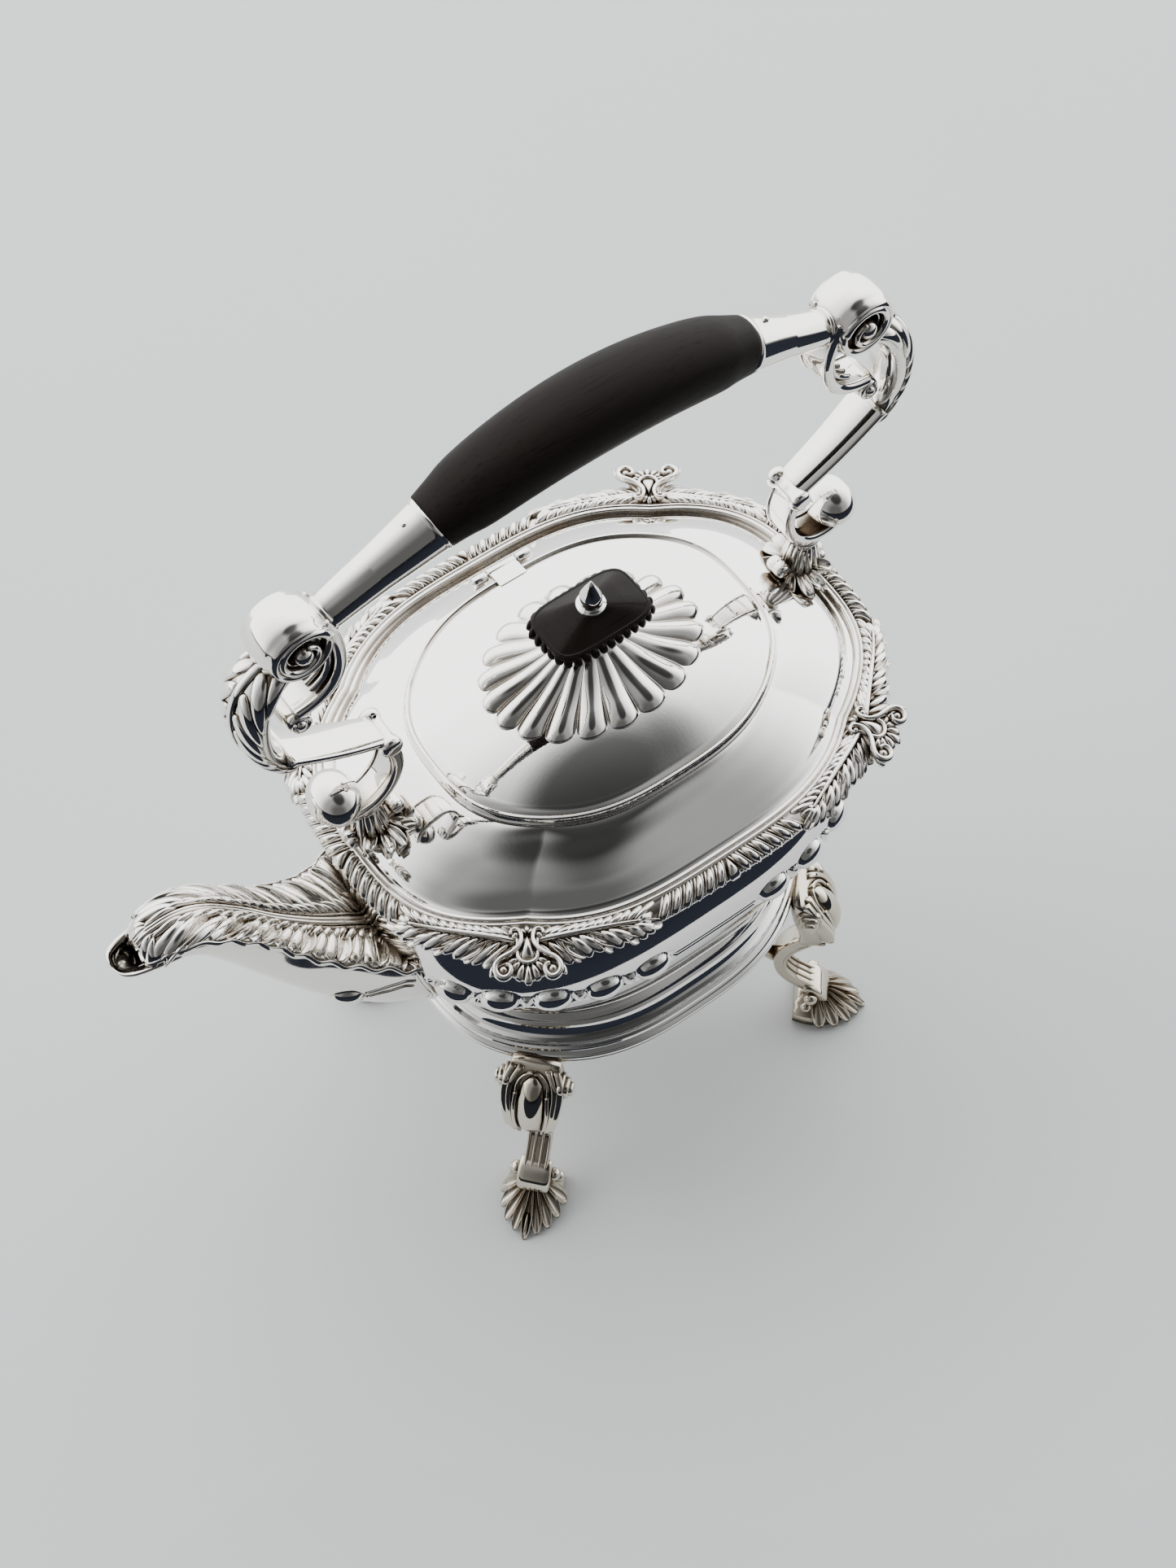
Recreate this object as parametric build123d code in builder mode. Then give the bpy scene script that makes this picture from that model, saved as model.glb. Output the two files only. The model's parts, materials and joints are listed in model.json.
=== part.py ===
from build123d import *
import os
from math import atan2, cos, degrees, hypot, radians, sin

# Silver kettle-form teapot on its four-legged stand, with a spirit burner. Millimetres, +Z up.
# Everything is drawn about the pot's upright axis, from the table up. The spout points to -X, the
# lid hinge is on the +Y side, and the fixed overhead handle lies in the XZ plane. The finished
# pieces are then moved so that the origin is on the table under the middle of the whole object.

# ------------------------------------------------------------------ driving dimensions
POT_X = 27.7  # the pot's axis, from the middle of the overall length
WALL = 1.3  # raised silver sheet
SLIP = 0.05  # radial clearance of a turning or sliding fit
REST_GAP = 0.3  # between the pot and the stand that carries it

RING_BOTTOM = 88.0  # stand ring
RING_TOP = 95.0
RING_X = 75.4
RING_Y = 64.6
RING_BAND = 8.0

FOOT_RIM_TOP = 100.6  # moulded foot of the pot
FOOT_RIM_X = 74.2
FOOT_RIM_Y = 62.6

BULGE_Z = 163.0  # widest level of the body
BULGE_X = 90.0
BULGE_Y = 69.0
BODY_TOP = 206.0

RIM_Z = 212.0  # cast leaf border round the shoulder
RIM_X = 98.0
RIM_Y = 76.6
SHELL_X = 66.5
SHELL_Y = 59.4
SHELL_RADIUS = 10.0

LID_SEAT_Z = 226.6  # top of the shoulder, under the lid's edge
LID_X = 60.5
LID_Y = 46.6
OPENING_X = 56.6
OPENING_Y = 42.8
LID_TOP = 242.4

HINGE_Y = 49.4
HINGE_Z = 229.4
HINGE_HALF = 11.0
KNUCKLE_RADIUS = 1.9
PIN_RADIUS = 0.8

KNOB_X = 17.2  # ebony finial block
KNOB_Y = 10.8
KNOB_BASE = 252.2
KNOB_EDGE = 259.8
KNOB_TOP = 265.4
FINIAL_TIP = 278.0

GRIP_HALF = 54.5  # ebony grip, an arch between the two sockets
GRIP_END_Z = 345.5
GRIP_TOP_Z = 356.5
GRIP_RADIUS = 12.0
GRIP_END_RADIUS = 8.4
SOCKET_END_X = 84.0
SOCKET_END_Z = 334.6
ARM_HALF_WIDTH = 5.0
ARM_SHEET = 3.2

SPOUT_TIP_X = 172.6

KNEE_X = 62.7  # legs: each leg stands in a vertical plane through its knee
KNEE_Y = 51.6
LEG_SPREAD = radians(54)
LEG_WIDTH = 25.0
SHELL_FOOT_LENGTH = 27.2

BURNER_RING_RADIUS = 27.0
BURNER_RING_Z = 34.0
BOWL_RADIUS = 24.0

# ------------------------------------------------------------------ plan outlines
# A plan is closed by four bowed sides. The first two numbers put its corners, as shares of the half
# sizes; the third is the power of the bow. OVAL and BOMBE turn their corners smoothly, NOTCHED has
# bowed sides that meet in a shallow notch.
OVAL = (0.72, 0.76, 2.85)
BOMBE = (0.74, 0.775, 3.13)
NOTCHED = (0.687, 0.759, 3.3)
SIDE_STEPS = (-1, -0.8, -0.45, 0, 0.45, 0.8, 1)


def plan(level, half_x, half_y, shape):
    """One closed plan outline at a height, as a face."""
    share_x, share_y, power = shape
    corner_x = share_x * half_x
    corner_y = share_y * half_y
    front = [(s * corner_x, (half_y - corner_y) * abs(s) ** power - half_y) for s in SIDE_STEPS]
    right = [(half_x - (half_x - corner_x) * abs(s) ** power, s * corner_y) for s in SIDE_STEPS]
    with BuildSketch(Plane.XY.offset(level)) as outline:
        with BuildLine():
            Spline(*front)
            Spline(*right)
            Spline(*[(-x, -y) for x, y in front])
            Spline(*[(-x, -y) for x, y in right])
        make_face()
    return outline.sketch


def skin(levels, inset=0.0, drop=0.0):
    """Solid lofted through plan outlines (level, half_x, half_y, shape), each drawn in by inset."""
    with BuildPart() as solid:
        loft(sections=[plan(z - drop, x - inset, y - inset, shape) for z, x, y, shape in levels])
    return solid.part


def save(part, name):
    """Move a finished piece to the shared origin, label it and write its file."""
    placed = part.moved(Location((POT_X, 0, 0)))
    placed.label = name
    export_step(placed, f"parts/{name}.step")


def side_profile(points, plane=Plane.XZ):
    """Face bounded by one smooth closed curve through points of the plane."""
    with BuildSketch(plane) as outline:
        with BuildLine():
            Spline(*points, periodic=True)
        make_face()
    return outline.sketch


def ribbon(points, thickness, half_width, plane=Plane.XZ):
    """Strap of constant thickness whose centre line runs smoothly through points of the plane."""
    with BuildPart() as strap:
        with BuildSketch(plane) as section:
            with BuildLine() as centre:
                Spline(*points)
            trace(centre.line, line_width=thickness)
        extrude(section.sketch, amount=half_width, both=True)
    return strap.part


os.makedirs("parts", exist_ok=True)

# ------------------------------------------------------------------ stand: ring
ring_levels = [
    (RING_BOTTOM, RING_X - 1.6, RING_Y - 1.6, OVAL),
    (RING_BOTTOM + 2.2, RING_X, RING_Y, OVAL),
    (RING_TOP - 2.4, RING_X - 0.4, RING_Y - 0.4, OVAL),
    (RING_TOP, RING_X - 1.8, RING_Y - 1.8, OVAL),
]
ring_hole = [
    (RING_BOTTOM, RING_X - RING_BAND, RING_Y - RING_BAND, OVAL),
    (RING_TOP, RING_X - RING_BAND, RING_Y - RING_BAND, OVAL),
]
with BuildPart() as stand_ring:
    add(skin(ring_levels))
    add(skin(ring_hole), mode=Mode.SUBTRACT)
save(stand_ring.part, "stand_ring")

# ------------------------------------------------------------------ stand: legs
# Drawn about the knee: local X runs outwards in the leg's plane, local Z is height.
LEG_OUTLINE = [
    (-8.6, 94.0),
    (-3.0, 94.6),
    (3.4, 88.0),
    (6.4, 74.0),
    (7.4, 58.0),
    (6.2, 46.0),
    (2.6, 38.0),
    (2.6, 26.0),
    (5.0, 17.0),
    (2.0, 9.0),
    (-3.6, 15.0),
    (-4.6, 28.0),
    (-3.4, 42.0),
    (-4.2, 58.0),
    (-5.0, 72.0),
    (-8.8, 84.0),
]
LEG_FRONT = [
    (0, 97),
    (LEG_WIDTH / 2, 93),
    (LEG_WIDTH / 2, 78),
    (LEG_WIDTH / 2 - 2, 62),
    (7.4, 48),
    (4.6, 40),
    (4.3, 24),
    (4.6, 10),
    (0, 6),
]
LOBES = 9
LOBE_SPAN = 150  # degrees of fan that the lobes cover
FAN_CENTRE = 11.0
FAN_RADIUS = 12.2
LOBE_RADIUS = 3.0
LOBE_REACH = SHELL_FOOT_LENGTH - FAN_CENTRE - LOBE_RADIUS
with BuildPart() as leg_casting:
    extrude(side_profile(LEG_OUTLINE), amount=LEG_WIDTH, both=True)
    with BuildSketch(Plane.YZ) as leg_front:
        with BuildLine():
            Polyline(*LEG_FRONT)
            mirror(about=Plane.YZ)
        make_face()
    extrude(leg_front.sketch, amount=40, both=True, mode=Mode.INTERSECT)
    with BuildSketch(Plane.XZ) as scroll_button:
        with Locations((-3.4, 86.5)):
            Circle(3.6)
    extrude(scroll_button.sketch, amount=LEG_WIDTH / 2 + 1.3, both=True)
    with BuildSketch(Plane.XZ) as foot_roll:
        with Locations((6.4, 13.2)):
            Circle(3.0)
    extrude(foot_roll.sketch, amount=8, both=True)
with BuildPart() as shell_foot:
    with BuildSketch(Plane.XY):
        with Locations((FAN_CENTRE, 0)):
            Circle(FAN_RADIUS)
        for lobe in range(LOBES):
            turn = radians(LOBE_SPAN * (lobe / (LOBES - 1) - 0.5))
            with Locations((FAN_CENTRE + LOBE_REACH * cos(turn), 0.75 * LOBE_REACH * sin(turn))):
                Circle(LOBE_RADIUS)
    extrude(amount=16)
    with BuildSketch(Plane.XZ) as foot_wedge:
        with BuildLine():
            Polyline(
                (-2, 0),
                (SHELL_FOOT_LENGTH, 0),
                (SHELL_FOOT_LENGTH, 1.6),
                (8, 13.4),
                (-2, 11),
                close=True,
            )
        make_face()
    extrude(foot_wedge.sketch, amount=30, both=True, mode=Mode.INTERSECT)
with BuildPart() as leg_pattern:
    add(leg_casting.part)
    add(shell_foot.part)

CORNERS = {
    "front_left": (-1, -1),
    "front_right": (1, -1),
    "back_right": (1, 1),
    "back_left": (-1, 1),
}
legs = {}
for corner, (side_x, side_y) in CORNERS.items():
    heading = degrees(atan2(side_y * sin(LEG_SPREAD), side_x * cos(LEG_SPREAD)))
    with BuildPart() as leg:
        with Locations(Location((side_x * KNEE_X, side_y * KNEE_Y, 0), (0, 0, heading))):
            add(leg_pattern.part)
        add(stand_ring.part, mode=Mode.SUBTRACT)
    legs[corner] = leg.part
    save(leg.part, f"leg_{corner}")

# ------------------------------------------------------------------ stand: stretchers and burner ring
# Each stretcher is an S-shaped strap from the back of an ankle to the burner ring.
ANKLE_X = KNEE_X - 4.4 * cos(LEG_SPREAD)
ANKLE_Y = KNEE_Y - 4.4 * sin(LEG_SPREAD)
ANKLE_REACH = hypot(ANKLE_X, ANKLE_Y)
STRETCHER_LINE = [
    (ANKLE_REACH + 1.0, 26.0),
    (ANKLE_REACH - 8.0, 18.0),
    (ANKLE_REACH - 22.0, 19.0),
    (ANKLE_REACH - 34.0, 30.0),
    (BURNER_RING_RADIUS, BURNER_RING_Z + 3.0),
]
with BuildPart() as burner_ring:
    with BuildSketch(Plane.XY.offset(BURNER_RING_Z)):
        Circle(BURNER_RING_RADIUS)
        Circle(BURNER_RING_RADIUS - 2.2, mode=Mode.SUBTRACT)
    extrude(amount=6)
    fillet(burner_ring.edges().filter_by(GeomType.CIRCLE), 0.6)
save(burner_ring.part, "burner_ring")

with BuildPart() as stretcher_pattern:
    add(ribbon(STRETCHER_LINE, thickness=2.6, half_width=3.0))
for corner, (side_x, side_y) in CORNERS.items():
    heading = degrees(atan2(side_y * ANKLE_Y, side_x * ANKLE_X))
    with BuildPart() as stretcher:
        with Locations(Location((0, 0, 0), (0, 0, heading))):
            add(stretcher_pattern.part)
        add(legs[corner], mode=Mode.SUBTRACT)
        add(burner_ring.part, mode=Mode.SUBTRACT)
    save(stretcher.part, f"stretcher_{corner}")

# ------------------------------------------------------------------ burner
BOWL_TOP = BURNER_RING_Z + 16.0
BOWL_FLOOR = 18.0
with BuildPart() as burner_bowl:
    with BuildSketch(Plane.XZ):
        with BuildLine():
            Line((0, BOWL_FLOOR), (9, BOWL_FLOOR))
            Spline((9, BOWL_FLOOR), (19.4, 25.0), (BOWL_RADIUS, 36.0), (BOWL_RADIUS, 40.6))
            Polyline(
                (BOWL_RADIUS, 40.6),
                (BURNER_RING_RADIUS, 40.6),
                (BURNER_RING_RADIUS, 41.8),
                (BOWL_RADIUS, 41.8),
                (BOWL_RADIUS - 1.0, BOWL_TOP),
                (BOWL_RADIUS - 1.0 - WALL, BOWL_TOP),
                (BOWL_RADIUS - WALL, 37.0),
            )
            Spline((BOWL_RADIUS - WALL, 37.0), (18.4, 26.4), (9, BOWL_FLOOR + WALL))
            Polyline((9, BOWL_FLOOR + WALL), (0, BOWL_FLOOR + WALL), (0, BOWL_FLOOR))
        make_face()
    revolve(axis=Axis.Z)
save(burner_bowl.part, "burner_bowl")

TUBE_RADIUS = 5.0
TUBE_TOP = BOWL_TOP + 15.0
WICK_RADIUS = TUBE_RADIUS - 0.9
with BuildPart() as burner_cover:
    with BuildSketch(Plane.XZ):
        with BuildLine():
            Polyline(
                (WICK_RADIUS, BOWL_TOP - 8),
                (TUBE_RADIUS, BOWL_TOP - 8),
                (TUBE_RADIUS, BOWL_TOP),
                (BOWL_RADIUS - 0.4, BOWL_TOP),
                (BOWL_RADIUS - 0.4, BOWL_TOP + 1.6),
                (12, BOWL_TOP + 4.0),
                (TUBE_RADIUS + 1.2, BOWL_TOP + 5.2),
                (TUBE_RADIUS, BOWL_TOP + 7.0),
                (TUBE_RADIUS, TUBE_TOP),
                (WICK_RADIUS, TUBE_TOP),
                close=True,
            )
        make_face()
    revolve(axis=Axis.Z)
save(burner_cover.part, "burner_cover")

with BuildPart() as wick:
    with BuildSketch(Plane.XY.offset(BOWL_FLOOR + 6)):
        Circle(WICK_RADIUS - SLIP)
    extrude(amount=TUBE_TOP + 2.4 - BOWL_FLOOR - 6)
    fillet(wick.edges().group_by(Axis.Z)[-1], 1.2)
save(wick.part, "wick")

# Cap that drops over the wick tube to put the flame out
CAP_INNER = TUBE_RADIUS + 0.35
CAP_BASE = BOWL_TOP + 7.4
CAP_TOP = TUBE_TOP + 4.2
with BuildPart() as snuffer_cap:
    with BuildSketch(Plane.XZ):
        with BuildLine():
            Polyline(
                (0, CAP_TOP - 1.2),
                (CAP_INNER, CAP_TOP - 1.2),
                (CAP_INNER, CAP_BASE),
                (CAP_INNER + 2.2, CAP_BASE),
                (CAP_INNER + 2.2, CAP_BASE + 1.4),
                (CAP_INNER + 1.1, CAP_BASE + 2.2),
                (CAP_INNER + 1.1, CAP_TOP - 1.4),
                (2.2, CAP_TOP + 0.4),
                (1.2, CAP_TOP + 1.6),
                (2.4, CAP_TOP + 3.4),
                (1.6, CAP_TOP + 5.2),
                (0, CAP_TOP + 5.6),
                close=True,
            )
        make_face()
    revolve(axis=Axis.Z)
save(snuffer_cap.part, "snuffer_cap")

# ------------------------------------------------------------------ pot: foot rim
FOOT_BOTTOM = RING_TOP + REST_GAP
SPIGOT_X = RING_X - RING_BAND - 0.6
SPIGOT_Y = RING_Y - RING_BAND - 0.6
foot_levels = [
    (FOOT_BOTTOM, FOOT_RIM_X, FOOT_RIM_Y, OVAL),
    (FOOT_BOTTOM + 1.6, FOOT_RIM_X + 0.4, FOOT_RIM_Y + 0.4, OVAL),
    (FOOT_BOTTOM + 3.4, FOOT_RIM_X - 1.2, FOOT_RIM_Y - 1.2, OVAL),
    (FOOT_RIM_TOP, FOOT_RIM_X - 3.4, FOOT_RIM_Y - 3.4, OVAL),
]
spigot_levels = [(FOOT_BOTTOM - 4.0, SPIGOT_X, SPIGOT_Y, OVAL), (FOOT_BOTTOM, SPIGOT_X, SPIGOT_Y, OVAL)]
foot_hole = [(FOOT_BOTTOM - 4.0, SPIGOT_X, SPIGOT_Y, OVAL), (FOOT_RIM_TOP, SPIGOT_X, SPIGOT_Y, OVAL)]
with BuildPart() as pot_foot_rim:
    add(skin(foot_levels))
    add(skin(spigot_levels))
    add(skin(foot_hole, inset=1.6), mode=Mode.SUBTRACT)
save(pot_foot_rim.part, "pot_foot_rim")

# ------------------------------------------------------------------ pot: body
body_levels = [
    (FOOT_RIM_TOP, 70.4, 58.8, OVAL),
    (110.0, 70.2, 57.8, OVAL),
    (126.0, 74.6, 60.0, OVAL),
    (145.0, 84.2, 65.6, BOMBE),
    (BULGE_Z, BULGE_X, BULGE_Y, BOMBE),
    (178.0, 88.6, 67.8, BOMBE),
    (192.0, 82.6, 62.0, BOMBE),
    (BODY_TOP, 87.0, 65.6, NOTCHED),
]
body_inside = [(FOOT_RIM_TOP + WALL, *body_levels[0][1:])] + body_levels[1:]
POUR_HOLE_Z = 146.0
with BuildPart() as pot_body:
    add(skin(body_levels))
    add(skin(body_inside, inset=WALL), mode=Mode.SUBTRACT)
    with BuildSketch(Plane.YZ.offset(-BULGE_X - 6)) as pour_hole:
        with Locations((0, POUR_HOLE_Z)):
            Ellipse(13, 15)
    extrude(pour_hole.sketch, amount=30, mode=Mode.SUBTRACT)
save(pot_body.part, "pot_body")

# ------------------------------------------------------------------ pot: shoulder
shoulder_levels = [
    (BODY_TOP, 87.0, 65.6, NOTCHED),
    (209.0, 88.0, 66.6, NOTCHED),
    (213.4, 84.0, 62.8, NOTCHED),
    (219.0, 76.6, 56.6, NOTCHED),
    (223.4, 68.0, 50.4, NOTCHED),
    (LID_SEAT_Z, 59.6, 45.4, OVAL),
]
opening_levels = [
    (BODY_TOP - 4, OPENING_X, OPENING_Y, OVAL),
    (LID_SEAT_Z + 1, OPENING_X, OPENING_Y, OVAL),
]
with BuildPart() as shoulder:
    add(skin(shoulder_levels))
    add(skin(shoulder_levels, inset=WALL, drop=WALL), mode=Mode.SUBTRACT)
    add(skin(opening_levels), mode=Mode.SUBTRACT)
save(shoulder.part, "shoulder")

# ------------------------------------------------------------------ pot: cast leaf border with corner shells
border_levels = [
    (204.6, RIM_X - 4.6, RIM_Y - 4.6, NOTCHED),
    (207.4, RIM_X, RIM_Y, NOTCHED),
    (RIM_Z, RIM_X - 6.0, RIM_Y - 6.0, NOTCHED),
]
border_hole = [
    (200.0, 88.2, 66.8, NOTCHED),
    (RIM_Z + 2, 88.2, 66.8, NOTCHED),
]
with BuildPart() as rim_border:
    add(skin(border_levels))
    with BuildSketch(Plane.XY.offset(205.4)):
        for side_x, side_y in CORNERS.values():
            with Locations((side_x * SHELL_X, side_y * SHELL_Y)):
                Circle(SHELL_RADIUS)
    extrude(amount=6.6)
    add(skin(border_hole), mode=Mode.SUBTRACT)
save(rim_border.part, "rim_border")

# ------------------------------------------------------------------ pot: spout
# Sections of the swan-neck spout: distance along -X, height, half width, half depth and tilt of the
# section, all in the XZ plane.
SPOUT_SECTIONS = [
    (84.0, 146.0, 27.0, 27.0, 0),
    (98.0, 151.0, 23.0, 23.0, 24),
    (114.0, 168.0, 17.0, 17.0, 44),
    (127.0, 190.0, 12.6, 12.6, 56),
    (139.0, 212.0, 10.6, 9.8, 50),
    (152.0, 224.5, 9.2, 8.0, 30),
    (SPOUT_TIP_X - 0.6, 229.6, 7.6, 6.2, 6),
]


def spout_section(place, inset=0.0):
    """Oval section of the spout at one place of its centre line."""
    reach, height, half_width, half_depth, tilt = place
    along = Vector(-cos(radians(tilt)), 0, sin(radians(tilt)))
    with BuildSketch(Plane((-reach, 0, height), x_dir=(0, 1, 0), z_dir=along)) as oval:
        Ellipse(half_width - inset, half_depth - inset)
    return oval.sketch


with BuildPart() as spout:
    loft(sections=[spout_section(place) for place in SPOUT_SECTIONS])
    loft(sections=[spout_section(place, WALL) for place in SPOUT_SECTIONS], mode=Mode.SUBTRACT)
    add(skin(body_levels), mode=Mode.SUBTRACT)
save(spout.part, "spout")

# ------------------------------------------------------------------ pot: lid hinge
KNUCKLE_SPLIT = 5.6
with BuildPart() as hinge_lugs:
    for side in (-1, 1):
        middle = side * (KNUCKLE_SPLIT + HINGE_HALF) / 2
        with Locations(Location((middle, HINGE_Y, HINGE_Z), (0, 90, 0))):
            Cylinder(KNUCKLE_RADIUS, HINGE_HALF - KNUCKLE_SPLIT - 0.2)
        with Locations((middle, HINGE_Y, HINGE_Z - 3.4)):
            Box(HINGE_HALF - KNUCKLE_SPLIT - 0.2, 2.0, 6.0)
    with Locations(Location((0, HINGE_Y, HINGE_Z), (0, 90, 0))):
        Cylinder(PIN_RADIUS, 3 * HINGE_HALF, mode=Mode.SUBTRACT)
    add(skin(shoulder_levels), mode=Mode.SUBTRACT)
save(hinge_lugs.part, "hinge_lugs")

with BuildPart() as hinge_pin:
    with Locations(Location((0, HINGE_Y, HINGE_Z), (0, 90, 0))):
        Cylinder(PIN_RADIUS, 2 * HINGE_HALF + 1.0)
save(hinge_pin.part, "hinge_pin")

# ------------------------------------------------------------------ lid
LID_EDGE_Z = LID_SEAT_Z + 0.35
DOME_BASE = LID_EDGE_Z + 3.2
DOME_X = LID_X - 1.8
DOME_Y = LID_Y - 1.8
edge_levels = [
    (LID_EDGE_Z, LID_X - 0.4, LID_Y - 0.4, OVAL),
    (LID_EDGE_Z + 1.4, LID_X, LID_Y, OVAL),
    (DOME_BASE, DOME_X, DOME_Y, OVAL),
]
dome_levels = [
    (LID_TOP - (LID_TOP - DOME_BASE) * share**2, share * DOME_X, share * DOME_Y, OVAL)
    for share in (1, 0.84, 0.66, 0.46, 0.26, 0.1)
]
with BuildPart() as lid_dome:
    add(skin(edge_levels))
    add(skin(dome_levels))
    add(skin(edge_levels, inset=WALL), mode=Mode.SUBTRACT)
    add(skin(dome_levels, inset=WALL, drop=WALL), mode=Mode.SUBTRACT)
    with BuildSketch(Plane.XY.offset(LID_SEAT_Z)):
        Circle(1.7)
    extrude(amount=30, mode=Mode.SUBTRACT)
save(lid_dome.part, "lid_dome")

BEZEL_GAP = 0.8
bezel_levels = [
    (LID_SEAT_Z - 6.0, OPENING_X - BEZEL_GAP, OPENING_Y - BEZEL_GAP, OVAL),
    (LID_EDGE_Z + 0.6, OPENING_X - BEZEL_GAP, OPENING_Y - BEZEL_GAP, OVAL),
]
with BuildPart() as lid_bezel:
    add(skin(bezel_levels))
    add(skin(bezel_levels, inset=1.0), mode=Mode.SUBTRACT)
save(lid_bezel.part, "lid_bezel")

with BuildPart() as lid_hinge_flap:
    with Locations(Location((0, HINGE_Y, HINGE_Z), (0, 90, 0))):
        Cylinder(KNUCKLE_RADIUS, 2 * KNUCKLE_SPLIT - 0.7)
    with BuildSketch(Plane.YZ) as flap_side:
        with BuildLine():
            Polyline(
                (HINGE_Y, HINGE_Z + KNUCKLE_RADIUS),
                (LID_Y - 2.4, HINGE_Z + 3.4),
                (LID_Y - 4.0, HINGE_Z - 1.0),
                (HINGE_Y, HINGE_Z - 0.4),
                close=True,
            )
        make_face()
    extrude(flap_side.sketch, amount=KNUCKLE_SPLIT - 0.35, both=True)
    with Locations(Location((0, HINGE_Y, HINGE_Z), (0, 90, 0))):
        Cylinder(PIN_RADIUS + SLIP, 3 * HINGE_HALF, mode=Mode.SUBTRACT)
    add(skin(edge_levels), mode=Mode.SUBTRACT)
    add(skin(dome_levels), mode=Mode.SUBTRACT)
save(lid_hinge_flap.part, "lid_hinge_flap")

# ------------------------------------------------------------------ lid: finial
ROD_RADIUS = 1.5
SKIRT_X = 37.6
SKIRT_Y = 27.4
SKIRT_EDGE_Z = 240.6
skirt_edge = [(234.0, SKIRT_X, SKIRT_Y, OVAL), (SKIRT_EDGE_Z, SKIRT_X, SKIRT_Y, OVAL)]
skirt_levels = [
    (SKIRT_EDGE_Z, SKIRT_X, SKIRT_Y, OVAL),
    (243.4, 28.0, 19.6, OVAL),
    (247.0, 18.0, 12.2, OVAL),
    (KNOB_BASE, 10.6, 7.0, OVAL),
]
with BuildPart() as finial_skirt:
    add(skin(skirt_edge))
    add(skin(skirt_levels))
    add(skin(dome_levels), mode=Mode.SUBTRACT)
    with BuildSketch(Plane.XY.offset(LID_SEAT_Z)):
        Circle(ROD_RADIUS + SLIP)
    extrude(amount=40, mode=Mode.SUBTRACT)
save(finial_skirt.part, "finial_skirt")


def knob_section(level, half_x, half_y, corner):
    """Rounded rectangle of the ebony block."""
    with BuildSketch(Plane.XY.offset(level)) as section:
        RectangleRounded(2 * half_x, 2 * half_y, corner)
    return section.sketch


with BuildPart() as finial_block:
    loft(
        sections=[
            knob_section(KNOB_BASE, 11.0, 6.6, 3.0),
            knob_section(KNOB_EDGE - 1.6, KNOB_X - 0.6, KNOB_Y - 0.6, 4.6),
        ],
        ruled=True,
    )
    loft(
        sections=[
            knob_section(KNOB_EDGE - 1.6, KNOB_X, KNOB_Y, 5.0),
            knob_section(KNOB_EDGE + 1.0, KNOB_X, KNOB_Y, 5.0),
            knob_section(KNOB_TOP, 4.6, 3.6, 1.6),
        ],
        ruled=True,
    )
    with BuildSketch(Plane.XY.offset(KNOB_BASE - 1)):
        Circle(ROD_RADIUS + SLIP)
    extrude(amount=30, mode=Mode.SUBTRACT)
save(finial_block.part, "finial_block")

NUT_RADIUS = 3.8
with BuildPart() as finial_nut:
    with BuildSketch(Plane.XZ):
        with BuildLine():
            Line((0, KNOB_TOP), (NUT_RADIUS, KNOB_TOP))
            Line((NUT_RADIUS, KNOB_TOP), (NUT_RADIUS, KNOB_TOP + 0.9))
            Spline((NUT_RADIUS, KNOB_TOP + 0.9), (2.2, KNOB_TOP + 4.2), (0.7, FINIAL_TIP - 1.4), (0, FINIAL_TIP))
            Line((0, FINIAL_TIP), (0, KNOB_TOP))
        make_face()
    revolve(axis=Axis.Z)
save(finial_nut.part, "finial_nut")

ROD_FOOT = LID_TOP - WALL - 4.6
with BuildPart() as finial_rod:
    with BuildSketch(Plane.XY.offset(ROD_FOOT - 1.2)):
        Circle(ROD_RADIUS)
    extrude(amount=KNOB_TOP - ROD_FOOT + 1.2)
save(finial_rod.part, "finial_rod")

with BuildPart() as finial_clamp_nut:
    with BuildSketch(Plane.XY.offset(ROD_FOOT)):
        RegularPolygon(radius=4.0, side_count=6)
        Circle(ROD_RADIUS, mode=Mode.SUBTRACT)
    extrude(amount=2.6)
    with BuildSketch(Plane.XY.offset(ROD_FOOT + 2.6)):
        Circle(5.0)
        Circle(ROD_RADIUS, mode=Mode.SUBTRACT)
    extrude(amount=1.2)
save(finial_clamp_nut.part, "finial_clamp_nut")

# ------------------------------------------------------------------ handle: ebony grip
arch_rise = GRIP_TOP_Z - GRIP_END_Z
arch_radius = (GRIP_HALF**2 + arch_rise**2) / (2 * arch_rise)
arch_centre = GRIP_TOP_Z - arch_radius
arch_half_angle = degrees(atan2(GRIP_HALF, GRIP_END_Z - arch_centre))


def grip_section(share, radius):
    """Round section square to the arch, at a share of its half length."""
    turn = radians(share * arch_half_angle)
    place = (arch_radius * sin(turn), 0, arch_centre + arch_radius * cos(turn))
    with BuildSketch(Plane(place, x_dir=(0, 1, 0), z_dir=(cos(turn), 0, -sin(turn)))) as section:
        Circle(radius)
    return section.sketch


def grip_end(side):
    """Round end of the grip, on the plane of its socket's mouth."""
    mouth = socket_plane(side)
    with BuildSketch(Plane(mouth.origin, x_dir=(0, 1, 0), z_dir=mouth.z_dir * side)) as section:
        Circle(GRIP_END_RADIUS)
    return section.sketch


grip_shape = [(-0.55, 11.2), (0, GRIP_RADIUS), (0.55, 11.2)]
TENON_RADIUS = 5.6
TENON_LENGTH = 12.0


def socket_plane(side):
    """Plane across the mouth of one socket, facing away from the grip."""
    slope = atan2(GRIP_END_Z - SOCKET_END_Z, SOCKET_END_X - GRIP_HALF)
    return Plane((side * GRIP_HALF, 0, GRIP_END_Z), x_dir=(0, 1, 0), z_dir=(side * cos(slope), 0, -sin(slope)))


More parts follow.
